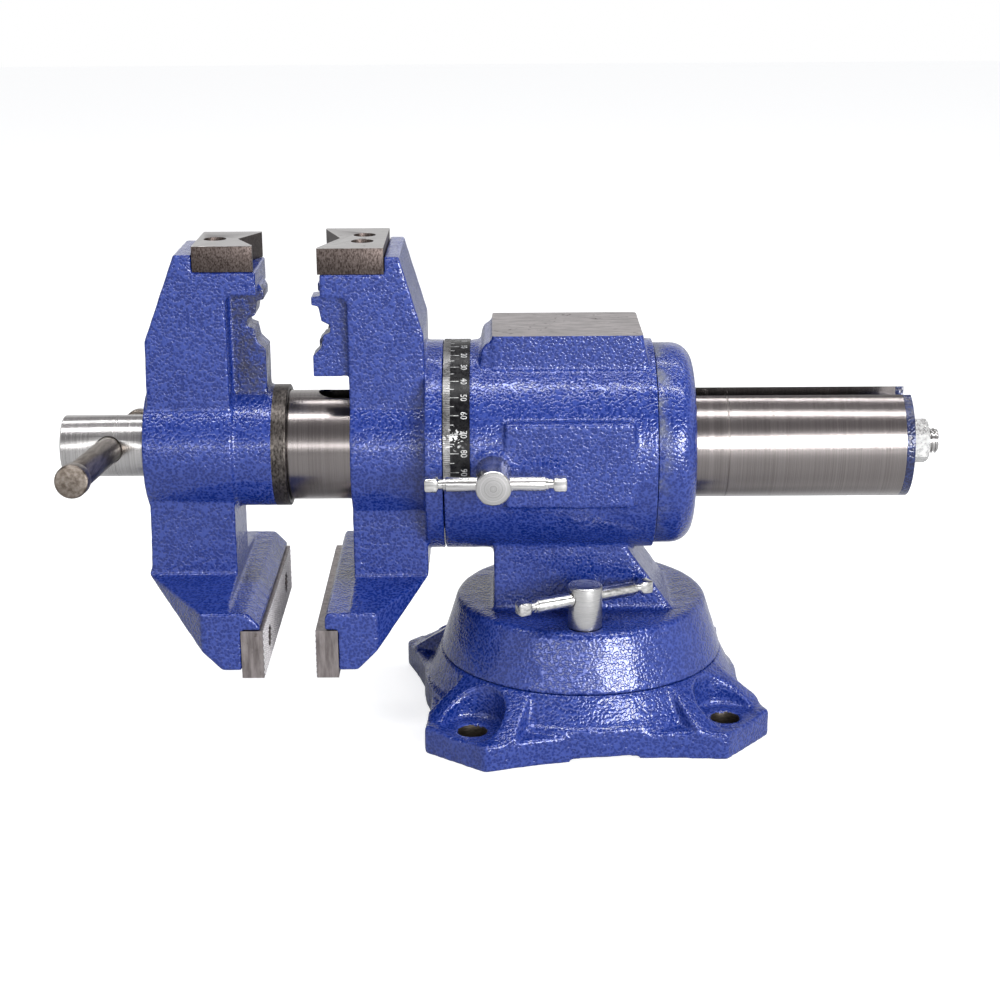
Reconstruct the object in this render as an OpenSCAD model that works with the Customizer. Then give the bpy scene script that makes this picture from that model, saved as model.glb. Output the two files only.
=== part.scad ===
// Bench vise with a rotating multi-jaw head, a swivel base and an anvil.
// Millimetres, +Z up. The origin is the middle of the base on the bench top.
// The screw axis runs along X: handle at -X, rear end of the guide bar at +X.

/* [Base plate] */
// Height of the seam between base plate and turntable
base_h = 30; // [26:0.5:40]
// Radius of the machined seat that the turntable turns on
seat_r = 69; // [67:0.5:73]
// Radius of the round skirt between the ears
skirt_r = 77.5; // [76:0.5:80]
// Height of the ledge on top of the skirt
ledge_h = 16.5; // [14:0.5:20]
// How far the skirt stands clear of the bench between the ears
foot_gap = 2; // [1:0.5:4]
// Radius of the corners of the four ears
ear_reach = 100; // [98:0.5:108]
// Half angle of an ear tip, seen from the middle
ear_half_angle = 10.6; // [8:0.1:12]
// Thickness of an ear
ear_t = 13.5; // [11:0.5:14]
// Turn of the ear pattern from the screw axis
ear_turn = 51.5; // [40:0.5:60]
// Radius of the waist between two ears
waist_r = 75.5; // [74:0.5:78]
// Diameter of the bench bolt circle
bolt_pcd = 170; // [166:1:176]
// Diameter of a bench bolt hole
bolt_d = 13; // [10:0.5:14]
// Diameter of the spot face round a bench bolt
spot_d = 30; // [26:1:32]
// Radius at which the gusset on an ear ends
gusset_r = 93; // [88:1:97]

/* [Turntable lock] */
// Radius of the circular groove for the locking bolts
groove_r = 49.6; // [47:0.2:50.4]
// Width of the groove at the top
groove_w = 13; // [13:0.5:15]
// Width of the groove under its lips
groove_in_w = 23; // [22:0.5:24]
// Thickness of the lips of the groove
groove_lip = 8; // [6:0.5:9]
// Depth of the groove under its lips
groove_in_h = 12; // [10:0.5:13]
// Diameter of the stud of a locking bolt
t_stud_d = 12; // [10:0.5:12]
// Thickness of the head of a locking bolt
t_head_h = 7; // [5:0.5:8]
// Diameter of the round lock nuts and the head lock screw
knob_d = 16; // [15:0.5:18]
// Height of a round lock nut
knob_h = 20.2; // [19:0.2:24]
// Height of the tommy bar above the foot of the lock nut
knob_bar_z = 13.9; // [13:0.1:15]
// Turn of the base lock bars from the screw axis
base_bar_turn = 27; // [0:1:30]
// Length of a base lock bar
base_bar_len = 71; // [60:1:72]
// Diameter of the pivot pin
pin_d = 20; // [16:1:24]

/* [Turntable and housing] */
// Height of the flat top of the turntable
table_top = 57.5; // [55:0.5:62]
// Radius of the top of the turntable
table_top_r = 61.5; // [60:0.5:64]
// Radius of the rounded rim of the turntable
rim_r = 4; // [2:0.5:6]
// Height of the screw axis above the bench
axis_h = 132.7; // [130:0.1:145]
// Half thickness of the pedestal
pedestal_half = 27; // [24:0.5:29]
// Front face of the pedestal and of the anvil
pedestal_x0 = -42.6; // [-46:0.1:-40]
// Rear foot of the pedestal on the turntable
pedestal_x1 = 43; // [38:0.5:46]
// Rear edge of the pedestal where it meets the drum
pedestal_x2 = 18; // [10:0.5:24]
// Radius of the drum that carries the head
drum_r = 50; // [49:0.5:53]
// Front end of the drum
drum_x0 = -65.3; // [-67:0.1:-63]
// Rear end of the drum
drum_x1 = 33.3; // [31:0.1:36]
// Height of the anvil above the screw axis
anvil_z = 58.3; // [56:0.1:64]
// Rear edge of the anvil top
anvil_x1 = 27; // [22:0.5:31]
// Width of the cast panel on the side of the drum
panel_w = 59.5; // [50:0.5:62]
// Height of the cast panel
panel_h = 40; // [30:0.5:44]
// Width of the degree scale strip
scale_w = 12.3; // [10:0.1:14]
// Thickness of the degree scale strip
scale_t = 0.6; // [0.4:0.1:1]
// Share of the half turn that the scale strip reaches on each side
scale_reach_share = 0.53; // [0.5:0.01:0.6]

/* [Rotating head] */
// Radius of the hub that turns in the drum
hub_r = 40; // [39:0.5:41]
// Thickness of the flange in front of the drum
flange_t = 8.4; // [7:0.1:10]
// Radius of the rear cap
cap_r = 48; // [46:0.5:49.5]
// Thickness of the rear cap
cap_t = 18.4; // [16:0.1:22]
// Radius of the rounded rear edge of the cap
cap_round = 10; // [6:0.5:12]
// Diameter of a cap screw
cap_screw_d = 6; // [5:0.5:6]
// Length of the nut that rides on the main screw
nut_len = 43; // [36:1:46]
// Width of the lug on top of the nut
lug_w = 15.9; // [14:0.1:17]
// Height of the lug above the screw axis
lug_z = 34; // [32:0.5:36]

/* [Jaws] */
// Width of the flat jaws
jaw_w = 125; // [110:1:130]
// Clamping face of the rotating jaw
rear_face_x = -125.5; // [-128:0.5:-122]
// Opening between the flat jaws as drawn
gap_now = 23.3; // [18:0.1:30]
// Thickness of a flat jaw plate
plate_t = 10.8; // [9:0.1:12]
// Height of a flat jaw plate
plate_h = 23.2; // [21:0.1:25]
// Top edge of the flat jaw plates below the screw axis
plate_drop = 72.1; // [70:0.1:75]
// Distance of a plate screw from the middle of the plate
plate_screw_y = 37.5; // [30:0.5:45]
// Throat behind the clamping faces
throat = 16.6; // [14:0.1:18]
// Height of the seat of the V plates above the screw axis
v_seat_z = 87.6; // [85:0.1:92]
// Thickness of a V plate
v_t = 12; // [10:0.5:14]
// Depth of the V in a V plate
v_depth = 8.7; // [6:0.1:10]
// Height of the lip behind a V plate
v_lip_h = 8; // [5:0.5:9]
// Underside of the blocks that carry the V plates, above the screw axis
block_z = 76.8; // [74:0.1:80]
// Radius of the inner corner under a V block
block_round = 4; // [2:0.5:6]
// Top of the wide jaw heads below the screw axis
head_top = 63.8; // [62:0.1:66]
// Underside of the wide jaw heads below the screw axis
head_bottom = 91.8; // [90:0.1:94]
// Depth of the wide jaw heads behind the clamping face
head_depth = 28.9; // [26:0.1:32]
// Chamfer under the back of the wide jaw heads
head_chamfer = 9.3; // [6:0.1:11]

/* [Pipe jaws] */
// Depth of the toothed pipe mouth
mouth_depth = 8.3; // [6:0.1:10]
// Lower edge of the pipe mouth above the screw axis
mouth_z0 = 48.8; // [46:0.1:52]
// Upper edge of the pipe mouth above the screw axis
mouth_z1 = 76.4; // [74:0.1:76.5]
// Half thickness of the single web of the moving jaw
web_half = 9.5; // [8:0.1:10]
// Outer half width of the two prongs of the rotating jaw
prong_half = 24; // [20:0.5:26]
// Clearance between web and prongs
web_clear = 1.2; // [0.5:0.1:2]
// Underside of the prongs above the screw axis
prong_z0 = 39; // [36:0.5:44]

/* [Moving jaw] */
// Half width of the arm of the moving jaw
front_half = 21; // [19:0.5:24]
// Depth of the arm of the moving jaw
front_depth = 41; // [38:0.5:44]
// Radius of the boss round the screw
front_boss_r = 30.5; // [30:0.5:34]
// Radius of the collar on the guide bar
collar_r = 29.2; // [28.5:0.1:30]
// Length of the collar in front of the arm
collar_len = 26.1; // [20:0.1:28]
// Length of the V plate of the moving jaw
front_v_len = 27.8; // [26:0.1:29]

/* [Rotating jaw] */
// Half width of the arm of the rotating jaw
rear_half = 29; // [26:0.5:30]
// Depth of the arm of the rotating jaw
rear_depth = 35.4; // [34:0.1:36]
// Radius of the boss round the guide bar
rear_boss_r = 38; // [34:0.5:40]
// Length of the V plate of the rotating jaw
rear_v_len = 30.3; // [28:0.1:31]
// Distance of the two V plate screws from the middle
rear_v_screw_y = 8.7; // [8:0.1:11]

/* [Guide bar and screw] */
// Diameter of the guide bar
bar_d = 52.5; // [50:0.5:53]
// Rear end of the guide bar with its end plate
bar_x1 = 155.4; // [150:0.1:165]
// Bore of the guide bar
bar_bore_d = 37; // [35:0.5:40]
// Depth of the socket in which the guide bar sits, behind the throat
socket_depth = 24.5; // [18:0.5:28]
// Width of the long slot in the top of the guide bar
slot_w = 16.5; // [16.1:0.1:18]
// Front end of the long slot
slot_x0 = -125.5; // [-130:0.5:-120]
// Thickness of the end plate of the guide bar
end_plate_t = 4; // [3:0.5:6]
// Diameter of the main screw
screw_d = 24; // [20:0.5:26]
// Diameter of the head of the main screw
screw_head_d = 29.6; // [28:0.1:32]
// Length of the head of the main screw
screw_head_len = 39.4; // [36:0.1:44]
// Distance of the handle hole from the front end of the screw head
handle_hole_x = 23.1; // [18:0.1:24]
// Diameter of the threaded rear end of the main screw
end_stud_d = 12; // [10:0.5:14]
// Width across the flats of the end nut
end_nut_af = 19; // [17:0.5:22]

/* [Handle] */
// Diameter of the handle bar
handle_d = 12.6; // [11:0.1:13]
// Length of the handle from end to end
handle_len = 168.5; // [150:0.5:190]
// Part of the handle on the near side of the screw, as drawn
handle_near = 96.2; // [70:0.1:110]
// Tilt of the handle, as drawn
handle_tilt = 6; // [0:0.5:90]
// Diameter of the handle ends
handle_end_d = 15; // [14:0.5:18]
// Length of a handle end
handle_end_len = 9; // [7:0.5:14]

/* [Tommy bars] */
// Diameter of the small lock bars
tommy_d = 6.7; // [6:0.1:7]
// Diameter of their pinched ends
tommy_end_d = 8; // [7.8:0.1:9]
// Length of a pinched end
tommy_end_len = 6.5; // [5:0.5:8]
// Length of the bar of the head lock
head_bar_len = 64; // [56:1:64]
// How far the bar of the head lock stands to the rear, as drawn
head_bar_shift = 1; // [1:0.5:17]
// Distance of the head lock from the front face of the pedestal
head_lock_x = 0.3; // [0:0.1:2]
// Length of the knob of the head lock screw
head_knob_len = 25.4; // [24:0.1:30]

/* [Fits] */
// Radial clearance of shafts that turn or slide in a bore
run_fit = 0.05; // [0.03:0.01:0.1]
// Gap between faces that pass each other
face_gap = 0.3; // [0.2:0.05:0.5]

/* [Hidden] */
$fn = 96;

// Colours as the object shows them
paint_blue = [0.13, 0.24, 0.58];
steel = [0.62, 0.61, 0.60];
zinc = [0.78, 0.78, 0.77];
dark_steel = [0.33, 0.31, 0.30];
black_tin = [0.10, 0.10, 0.11];

// One overrun serves every cut, and one chamfer every turned edge
over = 1;
edge = 0.6;

// Base: the waist arcs run through the corners of the ears
ear_count = 4;
mid_angle = 180 / ear_count;
waist_angle = mid_angle - ear_half_angle;
waist_d = (ear_reach * ear_reach - waist_r * waist_r)
    / (2 * (ear_reach * cos(waist_angle) - waist_r));
waist_arc_r = waist_d - waist_r;
gusset_half_angle = 17;
gusset_over_share = 1.2;
spot_sink = 1;
ledge_w = 2;
pocket_depth = 3;
pin_boss_r = 20;
pin_head_d = 28;
pin_head_h = 5;
pin_cover = 12;
pin_top = table_top - pin_cover;
groove_z1 = base_h - groove_lip;
groove_z0 = groove_z1 - groove_in_h;

// Turntable and housing
seam_gap = 0.2;
table_z0 = base_h + seam_gap;
relief_r0 = 17;
relief_r1 = 38;
table_wall = 10;
relief_top = table_top - table_wall;
pedestal_break_z = 92;
anvil_x0 = pedestal_x0;
anvil_break = 26;
toe_w = 5.6;
toe_step = 1.6;
toe_z = 53.5;
toe_drop = 1.5;
toe_inset = 1.5;
panel_x1 = 22.5;
panel_proud = 0.5;
lock_boss_r = 9.5;
lock_boss_proud = 1;
lock_boss_y = drum_r + lock_boss_proud;
lock_x = pedestal_x0 + head_lock_x;
pad_t = 3;
pad_gap = face_gap;
scale_half_angle = 180 * scale_reach_share;
scale_proud = 0.2;

// Head
flange_x1 = drum_x0 - face_gap;
flange_x0 = flange_x1 - flange_t;
cap_x0 = drum_x1 + face_gap;
cap_x1 = cap_x0 + cap_t;
bar_r = bar_d / 2;
bar_bore_r = bar_r + run_fit;
cap_screw_r = (bar_bore_r + hub_r) / 2;
cap_screw_reach = 14;
cap_screw_head_d = 10;
cap_screw_sink = 6.5;
nut_x1 = cap_x0 - face_gap;
nut_x0 = nut_x1 - nut_len;
nut_r = bar_bore_d / 2 - face_gap - run_fit;
thread_gap = run_fit;

// Jaws: u runs back from a clamping face, z up from the screw axis
front_face_x = rear_face_x - gap_now;
plate_z1 = -plate_drop;
plate_z0 = plate_z1 - plate_h;
plate_back = plate_t;
lip_z = v_seat_z + v_lip_h;
v_edge = 2.5;
front_v_half = front_half;
v_inset = 0.5;
rear_v_half = rear_half - v_inset;
screw_shank_d = 6;
screw_seat_d = 10.4;
screw_top_d = 9.8;
screw_top_h = 5;
screw_sink = 2.5;
screw_reach = 9;
mouth_shares = [[0, 0], [0.47, 0.14], [0.62, 0.36], [1, 0.40], [1, 0.52], [0.53, 0.59], [0.38, 0.84],
    [0, 0.86], [0, 1]];

// Moving jaw
front_block_u = 2.2;
front_v_u = 3.2;
front_lip_w = 8.2;
front_top_lean = 2.7;
front_shoulder_z = 55.3;
front_heel_z = -54.7;
front_heel = [1.4, -3.8];
front_low = [-11.8, -20.3];
front_under_share = 0.68;
front_tooth_rise = 4.2;
front_lip = [1.8, 5.9, 6.3];
front_web_z0 = 20;
front_u1 = throat + front_depth;
front_v_screw_u = 22.7;

// Rotating jaw
rear_block_u = 4.5;
rear_v_u = 3.6;
rear_lip_w = 6.7;
rear_top_lean = 0.4;
rear_shoulder_z = 59.3;
rear_heel_z = -57.2;
rear_tooth_rise = 0.6;
rear_lip = [4.7, 1.5, 2.5];
rear_u1 = throat + rear_depth;
rear_v_screw_u = 23.2;

// Guide bar and screw
washer_t = 2;
arm_x0 = front_face_x - front_u1;
socket_x0 = front_face_x - throat - socket_depth;
bar_x0 = socket_x0;
tube_x1 = bar_x1 - end_plate_t;
spigot_len = 6;
washer_x1 = arm_x0 - face_gap;
washer_x0 = washer_x1 - washer_t;
screw_head_x1 = washer_x0;
screw_head_x0 = screw_head_x1 - screw_head_len;
screw_step_x = tube_x1 - spigot_len - face_gap;
handle_x = screw_head_x0 + handle_hole_x;
handle_gap = 0.4;
end_washer_t = 1.6;
end_washer_r = 11.5;
end_nut_h = 8.5;
end_stud_over = 5;
end_washer_x0 = bar_x1 + face_gap;
end_nut_x0 = end_washer_x0 + end_washer_t;
end_stud_x1 = end_nut_x0 + end_nut_h + end_stud_over;
handle_far = handle_len - handle_near;
handle_neck_d = 8;
handle_neck_len = 6;

// Lock nuts and bars
nut_z0 = table_top + face_gap;
stud_reach = 8.2;
stud_top = nut_z0 + stud_reach;
tommy_gap = 0.3;
tommy_neck_d = 4.8;
tommy_neck_len = 2.2;
tommy_taper = 1.2;
base_bar_z = nut_z0 + knob_bar_z;
head_knob_y0 = lock_boss_y + face_gap;
head_knob_y1 = head_knob_y0 + head_knob_len;
head_bar_y = head_knob_y1 - knob_d / 2;
t_head_half = [8, 9.5];

// A round bar along X, on the screw axis
module x_rod(r, x0, x1)
    translate([x0, 0, axis_h]) rotate([0, 90, 0]) cylinder(r = r, h = x1 - x0);

// A turned piece along X: the outline gives radius and place along X
module x_turned(outline)
    translate([0, 0, axis_h]) rotate([0, 90, 0]) rotate_extrude() polygon(outline);

// A plate cut to a side outline and centred across the screw axis
module side_cut(outline, half)
    rotate([90, 0, 0]) linear_extrude(height = 2 * half, center = true) polygon(outline);

// Points of a quarter round
function round_pts(u, v, r, a0, a1, steps) =
    [for (i = [0:steps]) let (a = a0 + (a1 - a0) * i / steps) [u + r * cos(a), v + r * sin(a)]];

// Base plate: a cast disc with four bolted ears and a circular groove
module ear_star(height) {
    corners = [for (i = [0:ear_count - 1]) for (s = [-1, 1])
        let (a = ear_turn + 2 * mid_angle * i + s * ear_half_angle)
        [ear_reach * cos(a), ear_reach * sin(a)]];
    difference() {
        linear_extrude(height = height) polygon(corners);
        for (i = [0:ear_count - 1])
            rotate([0, 0, ear_turn + mid_angle + 2 * mid_angle * i])
                translate([waist_d, 0, -over]) cylinder(r = waist_arc_r, h = height + 2 * over);
    }
}

module ear_gussets() {
    wedge_r = ear_reach * gusset_over_share;
    intersection() {
        ear_star(base_h);
        rotate_extrude()
            polygon([[0, 0], [wedge_r, 0], [wedge_r, ear_t], [gusset_r, ear_t],
                [seat_r, base_h], [0, base_h]]);
        union()
            for (i = [0:ear_count - 1])
                rotate([0, 0, ear_turn + 2 * mid_angle * i])
                    linear_extrude(height = base_h)
                        polygon([[0, 0], [wedge_r, -wedge_r * tan(gusset_half_angle)],
                            [wedge_r, wedge_r * tan(gusset_half_angle)]]);
    }
}

module groove_cut() {
    lip0 = groove_r - groove_w / 2;
    lip1 = groove_r + groove_w / 2;
    in0 = groove_r - groove_in_w / 2;
    in1 = groove_r + groove_in_w / 2;
    rotate_extrude()
        polygon([[lip0, base_h + over], [lip0, groove_z1], [in0, groove_z1], [in0, groove_z0],
            [in1, groove_z0], [in1, groove_z1], [lip1, groove_z1], [lip1, base_h + over]]);
    // Round entry through which the bolt heads drop into the groove
    translate([groove_r, 0, groove_z1 - over])
        cylinder(r = groove_in_w / 2 - edge, h = groove_lip + 2 * over);
}

module base_plate() color(paint_blue) difference() {
    union() {
        ear_star(ear_t);
        ear_gussets();
        rotate_extrude()
            polygon([[0, foot_gap], [skirt_r, foot_gap], [skirt_r, ledge_h],
                [skirt_r - ledge_w, ledge_h], [seat_r, base_h], [0, base_h]]);
    }
    groove_cut();
    for (i = [0:ear_count - 1])
        rotate([0, 0, ear_turn + 2 * mid_angle * i]) translate([bolt_pcd / 2, 0, 0]) {
            translate([0, 0, -over]) cylinder(d = bolt_d, h = ear_t + 2 * over);
            translate([0, 0, ear_t - spot_sink]) cylinder(d = spot_d, h = base_h);
        }
    // Hollow underside round the boss of the pivot pin
    translate([0, 0, -over]) difference() {
        cylinder(r = seat_r, h = over + foot_gap + pocket_depth);
        cylinder(r = pin_boss_r, h = over + foot_gap + pocket_depth);
    }
    // Only the four ears stand on the bench
    translate([0, 0, -over]) cylinder(r = skirt_r - edge, h = over + foot_gap);
    translate([0, 0, -over]) cylinder(d = pin_d + 2 * run_fit, h = base_h + 2 * over);
    translate([0, 0, -over])
        cylinder(d = pin_head_d + 2 * run_fit, h = over + foot_gap + pin_head_h + edge);
}

module pivot_pin() color(steel) {
    translate([0, 0, foot_gap + edge]) cylinder(d = pin_head_d, h = pin_head_h);
    translate([0, 0, foot_gap + edge]) cylinder(d = pin_d, h = pin_top - foot_gap - edge);
}

// Swivel housing: turntable, pedestal, drum and anvil in one casting
module turntable() {
    rotate_extrude()
        polygon(concat([[0, table_z0], [seat_r, table_z0]],
            round_pts(table_top_r - rim_r, table_top - rim_r, rim_r, 0, 90, 6),
            [[0, table_top]]));
}

module drum_shape() {
    x_rod(drum_r, drum_x0, drum_x1);
    translate([0, 0, axis_h]) {
        side_cut([[anvil_x0, 0], [drum_x1, 0], [drum_x1, anvil_break], [anvil_x1, anvil_z],
            [anvil_x0, anvil_z]], pedestal_half);
        // Sloping foot in front of the anvil
        side_cut([[anvil_x0 - toe_w, 0], [anvil_x0 - toe_w, drum_r - edge],
            [anvil_x0 - toe_w + toe_step, toe_z], [anvil_x0 + over, anvil_z - toe_drop],
            [anvil_x0 + over, 0]], pedestal_half - toe_inset);
        // Flat cast panel on the side that carries the head lock
        translate([panel_x1 - panel_w, -drum_r - panel_proud, panel_x1 - panel_h])
            cube([panel_w, drum_r, panel_h]);
        translate([lock_x, 0, 0]) rotate([90, 0, 0])
            cylinder(r = lock_boss_r, h = lock_boss_y);
    }
}

module swivel_housing() color(paint_blue) difference() {
    union() {
        turntable();
        side_cut([[pedestal_x0, table_top - rim_r], [pedestal_x1, table_top - rim_r],
            [pedestal_x1, table_top], [pedestal_x2, pedestal_break_z],
            [pedestal_x2, axis_h], [pedestal_x0, axis_h]], pedestal_half);
        drum_shape();
    }
    // Bore for the hub of the head
    x_rod(hub_r + run_fit, drum_x0 - over, drum_x1 + over);
    scale_ring(face_gap / 2);
    translate([lock_x, 0, axis_h]) rotate([90, 0, 0])
        cylinder(d = t_stud_d, h = lock_boss_y + over);
    // Bore for the pivot pin, and the hollow round it
    translate([0, 0, base_h - over]) cylinder(d = pin_d + 2 * run_fit, h = pin_top - base_h + 2 * over);
    difference() {
        translate([0, 0, base_h - over]) cylinder(r = relief_r1, h = relief_top - base_h + over);
        translate([0, 0, base_h - 2 * over]) cylinder(r = relief_r0, h = relief_top);
    }
    for (s = [-1, 1]) translate([0, s * groove_r, base_h - over])
        cylinder(d = t_stud_d + 2 * face_gap, h = table_top - base_h + 2 * over);
}

// Degree scale: a thin printed strip let into the front of the drum
module scale_ring(clear) {
    low_z = drum_r * cos(scale_half_angle);
    difference() {
        x_rod(drum_r + over, drum_x0 - over, drum_x0 + scale_w + clear);
        x_rod(drum_r - scale_t + scale_proud - clear, drum_x0 - 2 * over, drum_x0 + scale_w + over);
        translate([drum_x0 - 2 * over, -drum_r - 2 * over, axis_h - drum_r - 2 * over])
            cube([scale_w + 4 * over, 2 * drum_r + 4 * over,
                drum_r + 2 * over + low_z - clear]);
    }
}

module degree_scale() color(black_tin) {
    low_z = drum_r * cos(scale_half_angle);
    difference() {
        x_rod(drum_r + scale_proud, drum_x0, drum_x0 + scale_w);
        x_rod(drum_r - scale_t + scale_proud, drum_x0 - over, drum_x0 + scale_w + over);
        translate([drum_x0 - over, -drum_r - over, axis_h - drum_r - over])
            cube([scale_w + 2 * over, 2 * drum_r + 2 * over, drum_r + over + low_z]);
    }
}

// Locking bolts: T heads in the groove, studs up through the turntable
module t_bolt() color(steel) translate([0, -groove_r, 0]) {
    translate([-t_head_half[0], -t_head_half[1], groove_z1 - face_gap - t_head_h])
        cube([2 * t_head_half[0], 2 * t_head_half[1], t_head_h]);
    translate([0, 0, groove_z1 - face_gap - t_head_h])
        cylinder(d = t_stud_d - 2 * run_fit, h = stud_top - groove_z1 + face_gap + t_head_h);
}

module t_bolt_front() t_bolt();
module t_bolt_rear() rotate([0, 0, 180]) t_bolt();

module head_lock_pad() color(dark_steel)
    translate([lock_x, -hub_r - pad_gap, axis_h]) rotate([90, 0, 0])
        cylinder(d = t_stud_d - 2 * face_gap, h = pad_t);

// Jaw outlines, seen from the side
function arm_outline(u1, block_u, v_end, lip_w, lean, shoulder_z, heel_z, low) =
    concat([[throat, -head_top - edge]],
        round_pts(throat - block_round, block_z - block_round, block_round, 0, 90, 5),
        [[block_u, block_z], [block_u, v_seat_z], [v_end, v_seat_z], [v_end, lip_z],
         [v_end + lip_w, lip_z], [u1 - lean, shoulder_z], [u1, heel_z]], low);

function head_outline(lip) =
    [[plate_back, -head_bottom], [head_depth - head_chamfer, -head_bottom],
     [head_depth, head_chamfer - head_bottom], [head_depth, -head_top],
     [lip[0] + lip[1], -head_top], [lip[0], -head_top - lip[2]],
     [lip[0], plate_z1 + face_gap / 2], [plate_back, plate_z1 + face_gap / 2]];

// The toothed mouth that grips pipe, closed behind inside the arm
function pipe_outline(z0, block_u, rise) =
    concat([[throat + over, z0], [0, z0]],
        [for (p = mouth_shares) [p[0] * mouth_depth, mouth_z0 + p[1] * (mouth_z1 - mouth_z0)]],
        [[block_u, mouth_z1 + rise], [block_u + over, block_z + over],
         [throat + over, block_z + over]]);

// The jaw narrows from the wide head up to the arm
module jaw_flare(half, foot, low) hull() {
    side_cut(concat([[throat, foot[1]], foot], low, [[throat, -head_bottom]]), half);
    side_cut([[throat, -head_bottom], [head_depth - head_chamfer, -head_bottom],
        [head_depth, head_chamfer - head_bottom], [head_depth, -head_top],
        [throat, -head_top]], jaw_w / 2);
}

// Holes in a jaw for its plate screws, drilled back from the clamping face
module plate_holes() for (s = [-1, 1])
    translate([plate_back - over, s * plate_screw_y, plate_z1 - plate_h / 2])
        rotate([0, 90, 0])
            cylinder(d = screw_shank_d + 2 * run_fit, h = screw_reach + 2 * over);

module v_hole(u, y) translate([u, y, v_seat_z - screw_reach - over])
    cylinder(d = screw_shank_d + 2 * run_fit, h = screw_reach + 2 * over);

module in_front_jaw() translate([front_face_x, 0, axis_h]) mirror([1, 0, 0]) children();
module in_rear_jaw() translate([rear_face_x, 0, axis_h]) children();

// Moving jaw: arm, V block, pipe web, wide head and the collar on the bar
module moving_jaw() color(paint_blue) difference() {
    heel = [front_u1, front_heel_z];
    bump = heel + front_heel;
    under = [head_depth + head_chamfer * front_under_share, -head_bottom];
    low = [bump, heel + front_low, under];
    union() {
        in_front_jaw() {
            side_cut(concat(arm_outline(front_u1, front_block_u, front_v_u + front_v_len + face_gap,
                front_lip_w, front_top_lean, front_shoulder_z, front_heel_z, low),
                [[throat, -head_bottom]]), front_half);
            side_cut(head_outline(front_lip), jaw_w / 2);
            side_cut(pipe_outline(front_web_z0, front_block_u, front_tooth_rise), web_half);
            jaw_flare(front_half, bump, [heel + front_low, under]);
        }
        x_rod(front_boss_r, arm_x0, front_face_x - throat + over);
        x_rod(collar_r, front_face_x - throat - over, front_face_x - throat + collar_len);
    }
    x_rod(bar_bore_r, bar_x0, front_face_x);
    x_rod(bar_bore_r, front_face_x - over, front_face_x + collar_len);
    x_rod(screw_d / 2 + run_fit, arm_x0 - 2 * over, bar_x0 + over);
    in_front_jaw() {
        plate_holes();
        v_hole(front_v_screw_u, 0);
    }
}

// Rotating jaw: arm, V block, two pipe prongs, wide head, flange and hub
module rotating_jaw() color(paint_blue) difference() {
    heel = [rear_u1, rear_heel_z];
    low = [[head_depth, head_chamfer - head_bottom], [head_depth - head_chamfer, -head_bottom]];
    union() {
        in_rear_jaw() {
            side_cut(concat(arm_outline(rear_u1, rear_block_u, rear_v_u + rear_v_len + face_gap,
                rear_lip_w, rear_top_lean, rear_shoulder_z, rear_heel_z, low),
                [[throat, -head_bottom]]), rear_half);
            side_cut(head_outline(rear_lip), jaw_w / 2);
            difference() {
                side_cut(pipe_outline(prong_z0, rear_block_u, rear_tooth_rise), prong_half);
                side_cut([[-over, 0], [throat, 0], [throat, block_z], [-over, block_z]],
                    web_half + web_clear);
            }
            jaw_flare(rear_half, heel, low);
        }
        x_rod(rear_boss_r, rear_face_x + throat, flange_x0 + over);
        x_rod(drum_r, flange_x0, flange_x1);
        x_rod(hub_r, flange_x1 - over, cap_x0);
    }
    x_rod(bar_bore_r, rear_face_x - over, cap_x0 + over);
    // Keyway for the lug of the nut, open to the rear
    translate([nut_x0 - face_gap, -lug_w / 2 - run_fit, axis_h])
        cube([cap_x0 - nut_x0 + face_gap + over, lug_w + 2 * run_fit, lug_z + face_gap]);
    for (a = [45:90:315]) translate([cap_x0 - cap_screw_reach - over, 0, axis_h]) rotate([a, 0, 0])
        translate([0, 0, cap_screw_r]) rotate([0, 90, 0])
            cylinder(d = cap_screw_d + 2 * run_fit, h = cap_screw_reach + 2 * over);
    in_rear_jaw() {
        plate_holes();
        for (s = [-1, 1]) v_hole(rear_v_screw_u, s * rear_v_screw_y);
    }
}

module rear_cap() color(paint_blue) difference() {
    x_turned(concat([[bar_bore_r, cap_x0], [cap_r, cap_x0]],
        round_pts(cap_r - cap_round, cap_x1 - cap_round, cap_round, 0, 90, 8),
        [[bar_bore_r, cap_x1]]));
    for (a = [45:90:315]) translate([0, 0, axis_h]) rotate([a, 0, 0]) translate([0, 0, cap_screw_r])
        rotate([0, 90, 0]) {
            translate([0, 0, cap_x0 - over])
                cylinder(d = cap_screw_d + 2 * run_fit, h = cap_t + 2 * over);
            translate([0, 0, cap_x1 - cap_screw_sink])
                cylinder(d = cap_screw_head_d + 2 * face_gap, h = cap_screw_sink + over);
        }
}

module cap_screws() color(dark_steel) for (a = [45:90:315])
    translate([0, 0, axis_h]) rotate([a, 0, 0]) translate([0, 0, cap_screw_r]) rotate([0, 90, 0]) {
        translate([0, 0, cap_x0 - cap_screw_reach])
            cylinder(d = cap_screw_d, h = cap_screw_reach + cap_t - cap_screw_sink + edge);
        translate([0, 0, cap_x1 - cap_screw_sink])
            cylinder(d = cap_screw_head_d, h = cap_screw_sink - edge);
    }

module screw_nut() color(dark_steel) difference() {
    union() {
        x_rod(nut_r, nut_x0, nut_x1);
        translate([nut_x0, -lug_w / 2, axis_h]) cube([nut_len, lug_w, lug_z]);
    }
    x_rod(screw_d / 2 + thread_gap, nut_x0 - over, nut_x1 + over);
}

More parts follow.
